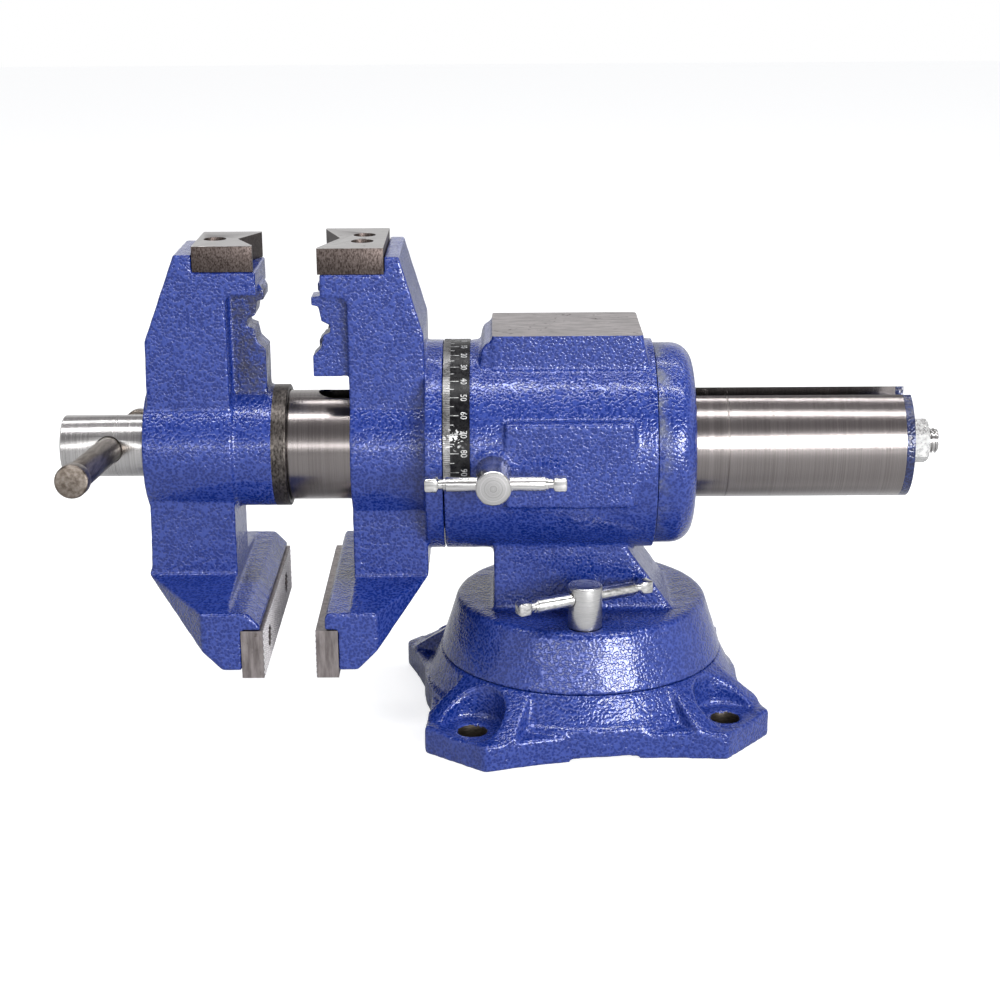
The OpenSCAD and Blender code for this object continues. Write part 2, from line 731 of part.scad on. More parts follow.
// Flat jaw plate with two sunk screw holes
module flat_plate() color(dark_steel) difference() {
    translate([0, -jaw_w / 2, plate_z0]) cube([plate_t, jaw_w, plate_h]);
    for (s = [-1, 1]) translate([0, s * plate_screw_y, plate_z1 - plate_h / 2]) rotate([0, 90, 0]) {
        translate([0, 0, -over]) cylinder(d = screw_shank_d + 2 * run_fit, h = plate_t + 2 * over);
        translate([0, 0, -over]) cylinder(d = screw_seat_d, h = over + screw_sink + screw_top_h);
    }
}

// A socket head screw, its head down in the plate by screw_sink
module sunk_screw(plate) {
    translate([0, 0, screw_sink]) cylinder(d = screw_top_d, h = screw_top_h);
    translate([0, 0, screw_sink + edge])
        cylinder(d = screw_shank_d, h = plate - screw_sink - edge + screw_reach);
}

module flat_screws() color(steel) for (s = [-1, 1])
    translate([0, s * plate_screw_y, plate_z1 - plate_h / 2]) rotate([0, 90, 0]) sunk_screw(plate_t);

module v_plate(u, len, half, screw_u, screw_y) color(dark_steel) difference() {
    notch = half - v_edge;
    translate([0, 0, v_seat_z]) linear_extrude(height = v_t)
        polygon([[u, -half], [u + len, -half], [u + len, half], [u, half],
            [u, notch], [u + v_depth, 0], [u, -notch]]);
    for (y = screw_y) translate([screw_u, y, v_seat_z]) {
        translate([0, 0, -over]) cylinder(d = screw_shank_d + 2 * run_fit, h = v_t + 2 * over);
        translate([0, 0, v_t - screw_sink - screw_top_h])
            cylinder(d = screw_seat_d, h = screw_sink + screw_top_h + over);
    }
}

module v_screws(screw_u, screw_y) color(steel)
    for (y = screw_y) translate([screw_u, y, v_seat_z + v_t]) mirror([0, 0, 1]) sunk_screw(v_t);

module rear_flat_plate() in_rear_jaw() flat_plate();
module rear_flat_screws() in_rear_jaw() flat_screws();
module rear_v_plate() in_rear_jaw()
    v_plate(rear_v_u, rear_v_len, rear_v_half, rear_v_screw_u, [-rear_v_screw_y, rear_v_screw_y]);
module rear_v_screws() in_rear_jaw() v_screws(rear_v_screw_u, [-rear_v_screw_y, rear_v_screw_y]);
module front_flat_plate() in_front_jaw() flat_plate();
module front_flat_screws() in_front_jaw() flat_screws();
module front_v_plate() in_front_jaw()
    v_plate(front_v_u, front_v_len, front_v_half, front_v_screw_u, [0]);
module front_v_screw() in_front_jaw() v_screws(front_v_screw_u, [0]);

// Guide bar: a ground tube with a long slot for the lug of the nut
module slot_cut(x1) {
    translate([slot_x0 + slot_w / 2, -slot_w / 2, axis_h])
        cube([x1 - slot_x0 - slot_w / 2, slot_w, bar_r + over]);
    translate([slot_x0 + slot_w / 2, 0, axis_h]) cylinder(d = slot_w, h = bar_r + over);
}

module guide_bar() color(steel) difference() {
    x_rod(bar_r, bar_x0, tube_x1);
    x_rod(bar_bore_d / 2, bar_x0 - over, tube_x1 + over);
    slot_cut(tube_x1 + over);
}

module bar_end_plate() color(paint_blue) difference() {
    union() {
        x_rod(bar_r, tube_x1, bar_x1);
        x_rod(bar_bore_d / 2 - run_fit, tube_x1 - spigot_len, tube_x1 + over);
    }
    x_rod(end_stud_d / 2 + run_fit, tube_x1 - spigot_len - over, bar_x1 + over);
    difference() {
        slot_cut(bar_x1 + over);
        x_rod(bar_bore_d / 2 - edge, tube_x1 - spigot_len - over, bar_x1 + 2 * over);
    }
}

// Main screw: head with a cross hole, plain shank, stud at the rear end
module handle_frame() translate([handle_x, 0, axis_h]) rotate([90 - handle_tilt, 0, 0]) children();

module main_screw() color(steel) difference() {
    x_turned([[0, screw_head_x0], [screw_head_d / 2 - edge, screw_head_x0],
        [screw_head_d / 2, screw_head_x0 + edge], [screw_head_d / 2, screw_head_x1],
        [screw_d / 2, screw_head_x1], [screw_d / 2, screw_step_x],
        [end_stud_d / 2, screw_step_x], [end_stud_d / 2, end_stud_x1 - edge],
        [end_stud_d / 2 - edge, end_stud_x1], [0, end_stud_x1]]);
    handle_frame() translate([0, 0, -screw_head_d])
        cylinder(d = handle_d + 2 * handle_gap, h = 2 * screw_head_d);
}

module thrust_washer() color(steel) difference() {
    x_rod(screw_head_d / 2 + edge, washer_x0, washer_x1);
    x_rod(screw_d / 2 + face_gap, washer_x0 - over, washer_x1 + over);
}

module end_washer() color(zinc) difference() {
    x_rod(end_washer_r, end_washer_x0, end_washer_x0 + end_washer_t);
    x_rod(end_stud_d / 2 + face_gap, end_washer_x0 - over, end_nut_x0 + over);
}

module end_nut() color(zinc) difference() {
    translate([end_nut_x0, 0, axis_h]) rotate([0, 90, 0])
        cylinder(d = end_nut_af / cos(30), h = end_nut_h, $fn = 6);
    x_rod(end_stud_d / 2 + run_fit, end_nut_x0 - over, end_nut_x0 + end_nut_h + over);
}

// Handle: a bar that slides through the screw head, with two turned ends
module handle_bar() color(steel) handle_frame() {
    translate([0, 0, handle_end_len - handle_far])
        cylinder(d = handle_d, h = handle_len - 2 * handle_end_len);
    translate([0, 0, handle_end_len - handle_far - handle_neck_len])
        cylinder(d = handle_neck_d, h = handle_len - 2 * handle_end_len + 2 * handle_neck_len);
}

module handle_end() difference() {
    rotate_extrude() polygon([[0, 0], [handle_d / 2 - edge, 0], [handle_d / 2 - edge, 2 * edge],
        [handle_end_d / 2 - edge, 2 * edge], [handle_end_d / 2, 3 * edge],
        [handle_end_d / 2, handle_end_len - edge], [handle_end_d / 2 - edge, handle_end_len],
        [0, handle_end_len]]);
    translate([0, 0, -over]) cylinder(d = handle_neck_d + 2 * run_fit, h = over + handle_neck_len + edge);
}

module handle_ends() color(zinc) handle_frame() {
    translate([0, 0, handle_near - handle_end_len]) handle_end();
    translate([0, 0, handle_end_len - handle_far]) mirror([0, 0, 1]) handle_end();
}

// Lock bars: a thin bar whose ends are pinched so that it can't fall out
module tommy_bar(len) {
    half = len / 2;
    neck = half - tommy_end_len;
    rotate_extrude() polygon(concat(
        [[0, -half], [tommy_end_d / 2 - tommy_taper, -half], [tommy_end_d / 2, -half + tommy_taper],
         [tommy_end_d / 2, -neck - tommy_taper], [tommy_neck_d / 2, -neck],
         [tommy_neck_d / 2, -neck + tommy_neck_len], [tommy_d / 2, -neck + tommy_neck_len]],
        [[tommy_d / 2, neck - tommy_neck_len], [tommy_neck_d / 2, neck - tommy_neck_len],
         [tommy_neck_d / 2, neck], [tommy_end_d / 2, neck + tommy_taper],
         [tommy_end_d / 2, half - tommy_taper], [tommy_end_d / 2 - tommy_taper, half], [0, half]]));
}

module head_lock_screw() color(zinc) difference() {
    translate([lock_x, 0, axis_h]) rotate([90, 0, 0]) rotate_extrude()
        polygon([[0, hub_r + pad_gap + pad_t + face_gap],
            [t_stud_d / 2 - run_fit, hub_r + pad_gap + pad_t + face_gap],
            [t_stud_d / 2 - run_fit, head_knob_y0], [knob_d / 2, head_knob_y0],
            [knob_d / 2, head_knob_y1 - edge], [knob_d / 2 - edge, head_knob_y1],
            [0, head_knob_y1]]);
    translate([lock_x - knob_d, -head_bar_y, axis_h]) rotate([0, 90, 0])
        cylinder(d = tommy_d + 2 * tommy_gap, h = 2 * knob_d);
}

module head_lock_bar() color(zinc)
    translate([lock_x + head_bar_shift, -head_bar_y, axis_h]) rotate([0, 90, 0])
        tommy_bar(head_bar_len);

module lock_nut() color(zinc) translate([0, -groove_r, 0]) difference() {
    translate([0, 0, nut_z0]) rotate_extrude()
        polygon([[0, 0], [knob_d / 2, 0], [knob_d / 2, knob_h - edge],
            [knob_d / 2 - edge, knob_h], [0, knob_h]]);
    translate([0, 0, nut_z0 - over]) cylinder(d = t_stud_d, h = stud_top - nut_z0 + over + edge);
    translate([0, 0, base_bar_z]) rotate([0, 0, base_bar_turn]) rotate([0, 90, 0])
        cylinder(d = tommy_d + 2 * tommy_gap, h = 2 * knob_d, center = true);
}

module lock_bar() color(zinc) translate([0, -groove_r, base_bar_z])
    rotate([0, 0, base_bar_turn]) rotate([0, 90, 0]) tommy_bar(base_bar_len);

module base_lock_nut_front() lock_nut();
module base_lock_bar_front() lock_bar();
module base_lock_nut_rear() rotate([0, 0, 180]) lock_nut();
module base_lock_bar_rear() rotate([0, 0, 180]) lock_bar();

base_plate();
pivot_pin();
swivel_housing();
degree_scale();
t_bolt_front();
t_bolt_rear();
head_lock_pad();
rotating_jaw();
rear_cap();
cap_screws();
screw_nut();
rear_flat_plate();
rear_flat_screws();
rear_v_plate();
rear_v_screws();
moving_jaw();
guide_bar();
bar_end_plate();
front_flat_plate();
front_flat_screws();
front_v_plate();
front_v_screw();
main_screw();
thrust_washer();
end_washer();
end_nut();
handle_bar();
handle_ends();
head_lock_screw();
head_lock_bar();
base_lock_nut_front();
base_lock_bar_front();
base_lock_nut_rear();
base_lock_bar_rear();
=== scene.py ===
# A swivel bench vise with a rotating multi-jaw head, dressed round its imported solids.
# Metres, in the frame of the solids: X along the screw, Z up, the origin on the bench top.
import math

import bmesh
import bpy
import numpy as np
from mathutils import Matrix, Vector


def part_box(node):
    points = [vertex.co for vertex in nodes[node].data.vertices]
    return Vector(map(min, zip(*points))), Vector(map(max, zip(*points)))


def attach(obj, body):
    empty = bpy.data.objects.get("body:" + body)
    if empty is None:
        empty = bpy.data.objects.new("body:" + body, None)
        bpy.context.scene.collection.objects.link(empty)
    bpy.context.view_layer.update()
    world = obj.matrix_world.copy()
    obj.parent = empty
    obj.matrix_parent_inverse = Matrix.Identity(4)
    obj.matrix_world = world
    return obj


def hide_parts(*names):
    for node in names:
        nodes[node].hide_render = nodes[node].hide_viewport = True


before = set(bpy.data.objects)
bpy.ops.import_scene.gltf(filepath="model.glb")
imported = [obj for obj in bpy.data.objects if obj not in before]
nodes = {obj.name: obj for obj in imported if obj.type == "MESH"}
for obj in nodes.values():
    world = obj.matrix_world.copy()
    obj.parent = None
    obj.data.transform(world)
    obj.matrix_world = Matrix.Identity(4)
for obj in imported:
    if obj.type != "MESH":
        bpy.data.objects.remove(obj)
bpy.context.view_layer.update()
mm = 0.001
axis_height = 132.7 * mm

# Base plate: grey iron poured in sand, with four ears that are spot-faced for the bench
# bolts. The whole casting is sprayed with hammered enamel, which pulls into small cells as
# it dries, and only the bolt holes are drilled through the paint. Their bare walls are dark brown,
# partly the iron's own tone and partly painted shade down in the holes.


def add_node(tree, kind, values=None, **settings):
    """A node with its settings made and its inputs linked or filled in."""
    node = tree.nodes.new(kind)
    for name, value in settings.items():
        setattr(node, name, value)
    for name, value in (values or {}).items():
        if isinstance(value, bpy.types.NodeSocket):
            tree.links.new(value, node.inputs[name])
        else:
            node.inputs[name].default_value = value
    return node


def find_node(tree, kind):
    return next(node for node in tree.nodes if node.type == kind)


def new_group(name, inputs, outputs, kind_of_tree="ShaderNodeTree"):
    """A node group with its sockets made: the group, what it is given and what it hands out."""
    group = bpy.data.node_groups.new(name, kind_of_tree)
    for way, sockets in (("INPUT", inputs), ("OUTPUT", outputs)):
        for label, kind in sockets.items():
            group.interface.new_socket(name=label, in_out=way, socket_type="NodeSocket" + kind)
    given = group.nodes.new("NodeGroupInput").outputs
    return group, given, group.nodes.new("NodeGroupOutput").inputs


def calc(tree, operation, first, second=0.0, third=0.0):
    node = add_node(tree, "ShaderNodeMath", {0: first, 1: second, 2: third}, operation=operation)
    return node.outputs[0]


def ease(tree, value, low, high, start=0.0, end=1.0):
    """Goes smoothly from start to end while the value goes from low to high."""
    node = add_node(tree, "ShaderNodeMapRange", {0: value, 1: low, 2: high, 3: start, 4: end},
        interpolation_type="SMOOTHSTEP")
    return node.outputs[0]


def blend_colour(tree, share, first, second):
    node = add_node(tree, "ShaderNodeMix", {0: share, 6: first, 7: second},
        data_type="RGBA", clamp_factor=True)
    return node.outputs[2]


def noise(tree, place, scale, detail=3.0, rough=0.5):
    node = add_node(tree, "ShaderNodeTexNoise",
        {"Vector": place, "Scale": scale, "Detail": detail, "Roughness": rough})
    return node.outputs[0]


def make_enamel_group():
    group, given, out = new_group("Hammered enamel",
        {"Place": "Vector", "Cells": "Float", "Pit": "Color", "Crest": "Color",
            "Grime": "Float", "Grime colour": "Color"},
        {"Color": "Color", "Roughness": "Float", "Metallic": "Float", "Height": "Float"})
    wander = 1.4 * mm
    # How fine each pattern is, in repeats per metre
    wander_grain, broad_grain, fleck_grain, dirt_grain = 420.0, 38.0, 700.0, 95.0
    shift = add_node(group, "ShaderNodeTexNoise",
        {"Vector": given["Place"], "Scale": wander_grain, "Detail": 2.0})
    pull = add_node(group, "ShaderNodeVectorMath",
        {0: shift.outputs[1], 1: (0.5, 0.5, 0.5)}, operation="SUBTRACT")
    warp = add_node(group, "ShaderNodeVectorMath",
        {0: pull.outputs[0], 1: (wander, wander, wander), 2: given["Place"]},
        operation="MULTIPLY_ADD")
    cells = add_node(group, "ShaderNodeTexVoronoi",
        {"Vector": warp.outputs[0], "Scale": given["Cells"], "Smoothness": 0.35},
        feature="SMOOTH_F1")
    crest = ease(group, cells.outputs["Distance"], 0.30, 0.74)
    broad = noise(group, given["Place"], broad_grain)
    fleck = ease(group, noise(group, given["Place"], fleck_grain, 2.0), 0.64, 0.76)
    tone = blend_colour(group, crest, given["Pit"], given["Crest"])
    tone = blend_colour(group, calc(group, "MULTIPLY", fleck, 0.4), tone, given["Pit"])
    tone = blend_colour(group, ease(group, broad, 0.35, 0.7, 0.0, 0.15), tone, given["Crest"])
    dirt = ease(group, noise(group, given["Place"], dirt_grain, 6.0, 0.68), 0.36, 0.66)
    dirt = calc(group, "MULTIPLY", dirt, given["Grime"])
    tone = blend_colour(group, dirt, tone, given["Grime colour"])
    group.links.new(tone, out["Color"])
    dull = calc(group, "MULTIPLY_ADD", dirt, 0.4, ease(group, broad, 0.3, 0.7, 0.06, 0.12))
    group.links.new(dull, out["Roughness"])
    group.links.new(calc(group, "MULTIPLY", crest, 0.12), out["Metallic"])
    group.links.new(crest, out["Height"])
    return group


def new_material(name, **shader):
    """A material, with its tree, its shader's sockets and the place on the object."""
    material = bpy.data.materials.new(name)
    material.use_nodes = True
    tree = material.node_tree
    sockets = find_node(tree, "BSDF_PRINCIPLED").inputs
    for label, value in shader.items():
        sockets[label.replace("_", " ")].default_value = value
    return material, tree, sockets, add_node(tree, "ShaderNodeTexCoord").outputs["Object"]


def coat(tree, shader, look, bump_strength, depth):
    """Links a surface group to the shader, with its height as a bump of a depth."""
    bump = add_node(tree, "ShaderNodeBump", {"Strength": bump_strength, "Distance": depth,
        "Height": look.outputs["Height"]})
    tree.links.new(look.outputs["Color"], shader["Base Color"])
    tree.links.new(look.outputs["Roughness"], shader["Roughness"])
    tree.links.new(bump.outputs[0], shader["Normal"])


enamel_group = make_enamel_group()


def enamel(name, pit, crest, grime=0.0, soil=(0.018, 0.016, 0.022, 1)):
    """Enamel whose cells, counted per metre, have dark pits between lilac crests."""
    cells, depth = 760.0, 0.125 * mm
    material, tree, shader, place = new_material(name, IOR=1.56)
    look = add_node(tree, "ShaderNodeGroup", {"Place": place, "Cells": cells, "Pit": pit,
        "Crest": crest, "Grime": grime, "Grime colour": soil}, node_tree=enamel_group)
    coat(tree, shader, look, 0.9, depth)
    tree.links.new(look.outputs["Metallic"], shader["Metallic"])
    return material


def settle(piece):
    """Makes what the modifiers show the mesh of the piece."""
    view = bpy.context.evaluated_depsgraph_get()
    mesh = bpy.data.meshes.new_from_object(piece.evaluated_get(view))
    loose = piece.data
    piece.modifiers.clear()
    piece.data = mesh
    if loose.users == 0:
        bpy.data.meshes.remove(loose)


def new_piece(name, mesh):
    piece = bpy.data.objects.new(name, mesh)
    bpy.context.scene.collection.objects.link(piece)
    return piece


def mesh_of(shape, name):
    mesh = bpy.data.meshes.new(name)
    shape.to_mesh(mesh)
    shape.free()
    return mesh


def merged_copy(node, name, change=None):
    """A copy of a solid with its faces joined at the edges, and changed as asked."""
    shape = bmesh.new()
    shape.from_mesh(nodes[node].data)
    bmesh.ops.remove_doubles(shape, verts=shape.verts, dist=0.002 * mm)
    if change:
        change(shape)
    mesh = mesh_of(shape, name)
    mesh.materials.clear()
    return new_piece(name, mesh)


def fettle(mesh, crisp, raised):
    """Rounds the edges as sand and the file leave them, less where a face is machined, and
    pulls the skin in by the clearance so that its waves stay inside the solid."""
    passes, cast_share, machined_share = 9, 0.5, 0.05
    clear = 0.06 * mm
    wave_count, wave_height = 14, 0.018 * mm
    shortest_wave, longest_wave = 5.0, 13.0  # millimetres
    count = len(mesh.vertices)
    place = np.empty(count * 3)
    mesh.vertices.foreach_get("co", place)
    place = place.reshape(-1, 3)
    ends = np.empty(len(mesh.edges) * 2, np.int64)
    mesh.edges.foreach_get("vertices", ends)
    one, two = ends[0::2], ends[1::2]
    linked = np.bincount(one, minlength=count) + np.bincount(two, minlength=count)
    machined = crisp(place)
    share = np.where(machined, machined_share, cast_share)
    for _ in range(passes):
        for k in range(3):
            near = np.bincount(one, place[two, k], count) + np.bincount(two, place[one, k], count)
            place[:, k] += share * (near / linked - place[:, k])
    mesh.vertices.foreach_set("co", place.ravel())
    mesh.update()
    normal = np.empty(count * 3, np.float32)
    mesh.vertex_normals.foreach_get("vector", normal)
    draw = np.random.default_rng(7)
    waves = np.zeros(count)
    for _ in range(wave_count):
        way = draw.normal(size=3)
        length = draw.uniform(shortest_wave, longest_wave) * mm
        way *= 2 * math.pi / (length * np.linalg.norm(way))
        waves += np.sin(place @ way + draw.uniform(0, 2 * math.pi))
    lift = np.where(machined, 0.0, np.clip(wave_height * waves, -clear, clear)) - clear
    if raised is not None:
        lift += raised(place)
    place += normal.reshape(-1, 3) * lift[:, None]
    mesh.vertices.foreach_set("co", place.ravel())
    mesh.update()


def poured(node, name, materials, crisp, voxel=0.85 * mm, raised=None, change=None):
    """A casting on its solid: a fine skin with rounded edges, thinned to a number of triangles."""
    most = 180000
    piece = merged_copy(node, name, change)
    sand = piece.modifiers.new("sand", "REMESH")
    sand.mode = "VOXEL"
    sand.voxel_size = voxel
    settle(piece)
    fettle(piece.data, crisp, raised)
    piece.data.calc_loop_triangles()
    triangles = len(piece.data.loop_triangles)
    if triangles > most:
        piece.modifiers.new("thin", "DECIMATE").ratio = most / triangles
        settle(piece)
    piece.data.materials.clear()
    for material in materials:
        piece.data.materials.append(material)
    piece.data.shade_smooth()
    return piece


def mark_faces(piece, index, test):
    """Gives a material slot to the faces whose centres pass the test."""
    mesh = piece.data
    centre = np.empty(len(mesh.polygons) * 3)
    mesh.polygons.foreach_get("center", centre)
    which = np.empty(len(mesh.polygons), np.int32)
    mesh.polygons.foreach_get("material_index", which)
    which[test(centre.reshape(-1, 3))] = index
    mesh.polygons.foreach_set("material_index", which)


def carry(piece, body, slot, *replaced):
    """Hangs a piece on the body that it moves with, in place of the solids it dresses."""
    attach(piece, body)
    if replaced:
        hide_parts(*replaced)


def make_steel_group():
    group, given, out = new_group("Machined steel",
        {"Place": "Vector", "Marks": "Vector", "Dark": "Color", "Light": "Color",
            "Stain": "Float", "Stain colour": "Color", "Dull": "Float"},
        {"Color": "Color", "Roughness": "Float", "Height": "Float"})
    cloud_grain, spot_grain = 60.0, 210.0
    lay = add_node(group, "ShaderNodeVectorMath", {0: given["Place"], 1: given["Marks"]},
        operation="MULTIPLY")
    marks = noise(group, lay.outputs[0], 1.0, 5.0, 0.62)
    cloud = noise(group, given["Place"], cloud_grain, 4.0)
    tone = blend_colour(group, ease(group, marks, 0.3, 0.7), given["Dark"], given["Light"])
    spots = ease(group, noise(group, given["Place"], spot_grain, 6.0, 0.7), 0.56, 0.72)
    spots = calc(group, "MULTIPLY", spots, ease(group, cloud, 0.4, 0.65))
    stain = calc(group, "MULTIPLY", spots, given["Stain"])
    tone = blend_colour(group, stain, tone, given["Stain colour"])
    group.links.new(tone, out["Color"])
    dull = calc(group, "MULTIPLY_ADD", marks, 0.16, given["Dull"])
    group.links.new(calc(group, "MULTIPLY_ADD", stain, 0.3, dull), out["Roughness"])
    group.links.new(calc(group, "SUBTRACT", marks, calc(group, "MULTIPLY", stain, 0.8)),
        out["Height"])
    return group


steel_group = make_steel_group()


def steel(name, dark, light, marks, dull=0.2, stain=0.4, soil=(0.035, 0.026, 0.02, 1),
        depth=0.02 * mm, centre=None, axis=None, metal=1.0):
    """Bare steel. Marks are the tool marks per metre along X, Y and Z, or outwards, along and
    round the axis where the piece is turned on one."""
    material, tree, shader, place = new_material(name, Metallic=metal)
    if centre is not None:
        flat = [1.0, 1.0, 1.0]
        flat[axis] = 0.0
        moved = add_node(tree, "ShaderNodeVectorMath", {0: place, 1: centre}, operation="SUBTRACT")
        across = add_node(tree, "ShaderNodeVectorMath", {0: moved.outputs[0], 1: flat},
            operation="MULTIPLY")
        out = add_node(tree, "ShaderNodeVectorMath", {0: across.outputs[0]}, operation="LENGTH")
        split = add_node(tree, "ShaderNodeSeparateXYZ", {0: moved.outputs[0]})
        place = add_node(tree, "ShaderNodeCombineXYZ",
            {0: out.outputs["Value"], 1: split.outputs[axis]}).outputs[0]
    look = add_node(tree, "ShaderNodeGroup", {"Place": place, "Marks": marks, "Dark": dark,
        "Light": light, "Stain": stain, "Stain colour": soil, "Dull": dull},
        node_tree=steel_group)
    coat(tree, shader, look, 0.7, depth)
    return material


blue = enamel("blue hammered enamel", (0.001, 0.014, 0.140, 1), (0.030, 0.056, 0.27, 1))
# Painted shade: the bare walls of the bolt holes are near black, darker than bare iron, for the
# shade down in them
drilled_iron_and_hole_shade = steel("drilled iron, dark with painted hole shade", (0.03, 0.026, 0.022, 1), (0.09, 0.075, 0.06, 1),
    marks=(300, 300, 1800), dull=0.5, stain=0.8)
turned_from = 28.6 * mm
bolt_circle = 85 * mm
first_bolt = 51.5
hole_reach = 6.9 * mm
spot_face = 11.6 * mm
base_casting = poured("base_plate", "base_casting", (blue, drilled_iron_and_hole_shade),
    crisp=lambda p: p[:, 2] > turned_from)
for k in range(4):
    bolt_angle = math.radians(first_bolt + 90 * k)
    bolt_x, bolt_y = bolt_circle * math.cos(bolt_angle), bolt_circle * math.sin(bolt_angle)
    mark_faces(base_casting, 1, lambda c, x=bolt_x, y=bolt_y: (
        np.hypot(c[:, 0] - x, c[:, 1] - y) < hole_reach) & (c[:, 2] < spot_face))
carry(base_casting, "base", "hammered_paint", "base_plate")

# Pivot pin: a headed pin of turned steel, on which the turntable turns. It is put in from
# below, and its head stays in the hollow underside of the base plate.


def finish_node(name, material):
    """Shows a solid as it is, in a material."""
    mesh = nodes[name].data
    mesh.materials.clear()
    mesh.materials.append(material)


turned = steel("turned steel", (0.26, 0.25, 0.24, 1), (0.46, 0.44, 0.43, 1),
    marks=(90, 90, 2600), dull=0.2)
finish_node("pivot_pin", turned)

# Swivel housing: turntable, pedestal, drum and anvil in one iron casting, enamelled all over.
# Only the top of the anvil is ground bare. The cast pad under the panel comes from the pattern.
anvil_top = 191 * mm
anvil_rear = 27 * mm
grinding = 3 * mm
skim = 0.1 * mm
anvil_slope = 0.18
pad_centre = Vector((-2.5, -45.2, 111.3)) * mm
pad_radius = 7.5 * mm
pad_height = 0.5 * mm
foot_face = 31.6 * mm
drum_front = -64.2 * mm
drum_rear = 32.3 * mm
drum_low = 82 * mm


def leave_for_grinding(shape):
    """Raises the top of the anvil, so that the cut that grinds it flat leaves a sharp rim."""
    for corner in shape.verts:
        if corner.co.z > anvil_top - skim:
            corner.co.z += grinding
            if corner.co.x > anvil_rear - mm:
                corner.co.x -= grinding * anvil_slope


def cast_pad(p):
    """How far the skin stands out at each place, which is only at the round pad."""
    away = np.sqrt(((p - np.array(pad_centre)) ** 2).sum(1))
    return pad_height * np.clip(1.0 - (away / pad_radius) ** 6, 0, 1)


def machined_housing(p):
    return ((p[:, 2] < foot_face) | (p[:, 0] < drum_front)
        | (p[:, 0] > drum_rear) & (p[:, 2] > drum_low))


bare_iron = steel("ground iron", (0.22, 0.20, 0.20, 1), (0.48, 0.445, 0.445, 1),
    marks=(110, 700, 60), dull=0.30, stain=1.0, soil=(0.03, 0.024, 0.02, 1))
housing = poured("swivel_housing", "housing_casting", (blue, bare_iron),
    crisp=machined_housing, raised=cast_pad, change=leave_for_grinding)
ground = bmesh.new()
ground.from_mesh(housing.data)
cut = bmesh.ops.bisect_plane(ground, geom=ground.verts[:] + ground.edges[:] + ground.faces[:],
    plane_co=(0, 0, anvil_top - skim), plane_no=(0, 0, 1), clear_outer=True)
rim = [item for item in cut["geom_cut"] if isinstance(item, bmesh.types.BMEdge)]
fresh = bmesh.ops.triangle_fill(ground, use_beauty=True, edges=rim, normal=(0, 0, 1))
for item in fresh["geom"]:
    if isinstance(item, bmesh.types.BMFace):
        item.material_index = 1
        item.smooth = False
ground.to_mesh(housing.data)
ground.free()
housing.data.set_sharp_from_angle(angle=math.radians(50))
carry(housing, "swivel", "hammered_paint", "swivel_housing")

# Degree scale: a thin printed strip, let into the front of the drum. Its edge is silver with
# fine black marks, and the rest is black with white ones and a number for each ten degrees.
silver_edge = -62.1 * mm
scale_face = 50.2 * mm
ink = 0.06 * mm
scuff = (-60.7 * mm, -47.2 * mm, 148.0 * mm)
digit_size = 4.2 * mm
digit_width = 0.86


def new_shape_tree(name, **inputs):
    """A tree that makes a shape, with its inputs named as given but spaced."""
    labels = {label.replace("_", " "): kind for label, kind in inputs.items()}
    return new_group(name, {**labels, "Material": "Material"}, {"Geometry": "Geometry"},
        "GeometryNodeTree")


def hand_out(tree, shape, given, out):
    """Gives the shape its material and hands it out of the tree."""
    done = add_node(tree, "GeometryNodeSetMaterial",
        {"Geometry": shape.outputs[0], "Material": given["Material"]})
    tree.links.new(done.outputs[0], out["Geometry"])
    return tree


def make_arc_marks():
    """Short bars set round an arc about X, such as the marks of a dial."""
    tree, given, out = new_shape_tree("Marks round an arc", Count="Int", First="Float",
        Step="Float", Radius="Float", Height_of_axis="Float", Place="Float", Size="Vector")
    line = add_node(tree, "GeometryNodeMeshLine", {"Count": given["Count"]})
    line.inputs["Offset"].default_value = (0, 0, 0)
    number = tree.nodes.new("GeometryNodeInputIndex").outputs[0]
    angle = calc(tree, "MULTIPLY_ADD", number, given["Step"], given["First"])
    across = calc(tree, "MULTIPLY", calc(tree, "SINE", angle), given["Radius"])
    up = calc(tree, "MULTIPLY_ADD", calc(tree, "COSINE", angle), given["Radius"],
        given["Height of axis"])
    spot = add_node(tree, "ShaderNodeCombineXYZ",
        {0: given["Place"], 1: calc(tree, "MULTIPLY", across, -1.0), 2: up})
    set_out = add_node(tree, "GeometryNodeSetPosition",
        {"Geometry": line.outputs[0], "Position": spot.outputs[0]})
    bar = add_node(tree, "GeometryNodeMeshCube", {"Size": given["Size"]})
    turn = add_node(tree, "ShaderNodeCombineXYZ", {0: angle})
    bars = add_node(tree, "GeometryNodeInstanceOnPoints", {"Points": set_out.outputs[0],
        "Instance": bar.outputs[0], "Rotation": turn.outputs[0]})
    real = add_node(tree, "GeometryNodeRealizeInstances", {"Geometry": bars.outputs[0]})
    return hand_out(tree, real, given, out)


def run_tree(piece, tree, values):
    """Makes what the tree draws from the values the mesh of the piece."""
    modifier = piece.modifiers.new("shape", "NODES")
    modifier.node_group = tree
    for item in tree.interface.items_tree:
        if item.in_out == "INPUT" and item.name in values:
            modifier[item.identifier] = values[item.name]
    settle(piece)


